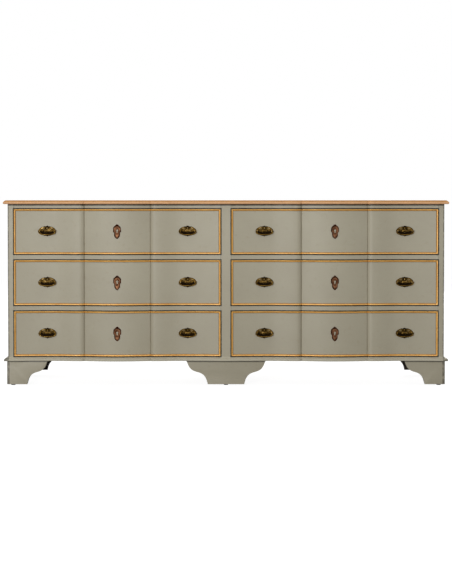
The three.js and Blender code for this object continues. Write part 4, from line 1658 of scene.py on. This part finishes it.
# Where a ray from a point leaves a closed outline
def rayReach(outline, start, turn):
    across, up = math.cos(turn), math.sin(turn)
    best = 0
    for (ax, az), (bx, bz) in zip(outline, outline[1:] + outline[:1]):
        ax, az, bx, bz = ax - start[0], az - start[1], bx - start[0], bz - start[1]
        cross = across * (bz - az) - up * (bx - ax)
        if abs(cross) < 1e-12:
            continue
        reach = (ax * (bz - az) - az * (bx - ax)) / cross
        share = (ax * up - az * across) / cross
        if 0 <= share <= 1 and reach > best:
            best = reach
    return best


def escutcheonMesh(centreX, backY, centreZ):
    halfX, halfZ = escutcheon["half"]
    right = [(x * halfX, z * halfZ) for x, z in escutcheon["shares"]]
    outline = right + [(-x, z) for x, z in reversed(right[1:-1])]
    radius, rise = escutcheon["holeRadius"], escutcheon["holeRise"]
    foot, drop = escutcheon["footHalf"], escutcheon["footDrop"]
    bow = steps(-math.pi / 4, 5 * math.pi / 4, 30)
    hole = [(radius * math.cos(turn), rise + radius * math.sin(turn)) for turn in bow]
    hole += [(-foot, -drop), (foot, -drop)]
    start = (0, escutcheon["middle"])
    reedLow, reedHigh = escutcheon["reedShares"]
    spokes = [(turn, rayReach(hole, start, turn), rayReach(outline, start, turn)) for turn in circle(120)]
    rings = []
    for share, height, patina in escutcheon["levels"]:
        ring = []
        for turn, near, far in spokes:
            reach = near + (far - near) * share
            x, z = start[0] + reach * math.cos(turn), start[1] + reach * math.sin(turn)
            lift = 0
            if z < -escutcheon["reedFrom"] and reedLow < share < reedHigh:
                swell = math.sin(math.pi * (share - reedLow) / (reedHigh - reedLow))
                lift = escutcheon["reedRise"] * swell * (0.5 + 0.5 * math.cos(x / escutcheon["reedPitch"]))
            bright = patina + escutcheon["reedTone"] * lift
            bright += escutcheon["tipTone"] * smoothShare(-z, *escutcheon["tip"])
            y = backY - escutcheon["thickness"] * (height + lift)
            ring.append((centreX + x, y, centreZ + z, bright))
        rings.append(ring)
    return meshOf(loft(rings, loop=True), tag="patinaAndLight")


def addEscutcheon(name, centreX):
    cadNode = f"{name}_escutcheon"
    low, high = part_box(cadNode)
    centreZ = (low.z + high.z) / 2
    addPiece(f"{cadNode}_copper", escutcheonMesh(centreX, high.y, centreZ), "copper", name, cadNode)
    facing = (math.pi / 2, 0, 0)  # crown towards -Y
    spot = ((centreX, high.y - escutcheon["pinSeat"], centreZ + escutcheon["pinUp"]), facing)
    addFixings(f"{cadNode}_pins", pinMesh(), [spot], "copper", name, cadNode)


def addDrawer(row, hand):
    name = f"drawer_{row}_{hand}"
    low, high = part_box(f"{name}_front")
    centre = (low.x + high.x) / 2
    addDrawerFront(name, centre, low.z, high.z)
    addDrawerBox(name)
    addEscutcheon(name, centre)
    nuts = []
    for end in hands:
        low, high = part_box(f"{name}_plate_{end}")
        middle = (low.x + high.x) / 2
        addHandle(name, end, middle)
        for side in (-1, 1):
            place = (middle + side * handle["post"], frameBack, (low.z + high.z) / 2)
            nuts.append((place, (-math.pi / 2, 0, 0)))
    addFixings(f"{name}_nuts", nutMesh(), nuts, "steel", name, f"{name}_plate_left", f"{name}_plate_right")


addFaceFrame()
addTopBoard()
addBaseMoulding()
addCarcase()
addFeet()
addGlides()
addCarcaseScrews()
print("carcase dressed")
for row in rowNames:
    for hand in hands:
        addDrawer(row, hand)
print("drawers dressed")


# Floor, light and camera


studio = {
    "floorReach": 9,
    "floorTone": 0.28,
    "floorLift": 0.93,
    "ambient": 0.24,
    # place, size, watts
    "lamps": {
        "key": ((-2.0, -7.6, 1.5), 2.4, 350),
        "fill": ((3.4, -5.6, 1.4), 3.0, 10),
        "top": ((-0.4, -0.6, 3.6), 3.0, 24),
        "right": ((6.0, 1.4, 2.0), 2.6, 90),
        "left": ((-6.0, 1.4, 2.0), 2.6, 90),
        "rear": ((1.5, 6.8, 2.2), 2.6, 230),
    },
    "aim": (0, 0, 0.45),
    "cameraPlace": (0, -7.235, 0.8265),
    "cameraTilt": math.radians(1.8),
    "cameraShift": -0.07,
    "lens": 96.15,
}


def emptyTree(owner):
    tree = treeOf(owner)
    tree.nodes.clear()
    return tree


def addFloor():
    reach, tone = studio["floorReach"], studio["floorTone"]
    mesh = bpy.data.meshes.new("floor")
    corners = [(-reach, -reach, 0), (reach, -reach, 0), (reach, reach, 0), (-reach, reach, 0)]
    mesh.from_pydata(corners, [], [(0, 1, 2, 3)])
    plane = addObject("floor", mesh)
    material = bpy.data.materials.new("studioFloor")
    tree = emptyTree(material)
    matt = wired(tree, "ShaderNodeBsdfDiffuse", {"Color": (tone, tone, tone, 1)})
    seen = wired(tree, "ShaderNodeLightPath", output="Is Camera Ray")
    glow = wired(tree, "ShaderNodeEmission", {"Strength": seen * studio["floorLift"]})
    both = node(tree, "ShaderNodeAddShader")
    for socket, shader in zip(both.inputs, (matt, glow)):
        feed(socket, shader)
    node(tree, "ShaderNodeOutputMaterial", {"Surface": Wire(both.outputs[0])})
    mesh.materials.append(material)


def addSky():
    world = bpy.data.worlds.new("studio")
    bpy.context.scene.world = world
    tree = emptyTree(world)
    rays = wiresOf(node(tree, "ShaderNodeLightPath").outputs)
    seen = greatest(rays["Is Camera Ray"], rays["Is Glossy Ray"], rays["Is Transmission Ray"])
    strength = seen.ranged(0.0, 1.0, studio["ambient"], 1.0)
    sky = wired(tree, "ShaderNodeBackground", {"Color": (1, 1, 1, 1), "Strength": strength})
    node(tree, "ShaderNodeOutputWorld", {"Surface": sky})


def addLamps():
    for label, (place, size, watts) in studio["lamps"].items():
        lamp = bpy.data.lights.new(label, "AREA")
        lamp.shape = "SQUARE"
        lamp.size = size
        lamp.energy = watts
        holder = addObject(label, lamp)
        holder.location = place
        aim = Vector(studio["aim"]) - Vector(place)
        holder.rotation_euler = aim.to_track_quat("-Z", "Y").to_euler()


def addCamera():
    camera = bpy.data.cameras.new("camera")
    camera.lens = studio["lens"]
    camera.shift_y = studio["cameraShift"]
    holder = addObject("camera", camera)
    holder.location = studio["cameraPlace"]
    holder.rotation_euler = (math.pi / 2 - studio["cameraTilt"], 0, 0)
    bpy.context.scene.camera = holder
    bpy.context.scene.view_settings.view_transform = "Standard"


addFloor()
addSky()
addLamps()
addCamera()
print("studio ready")
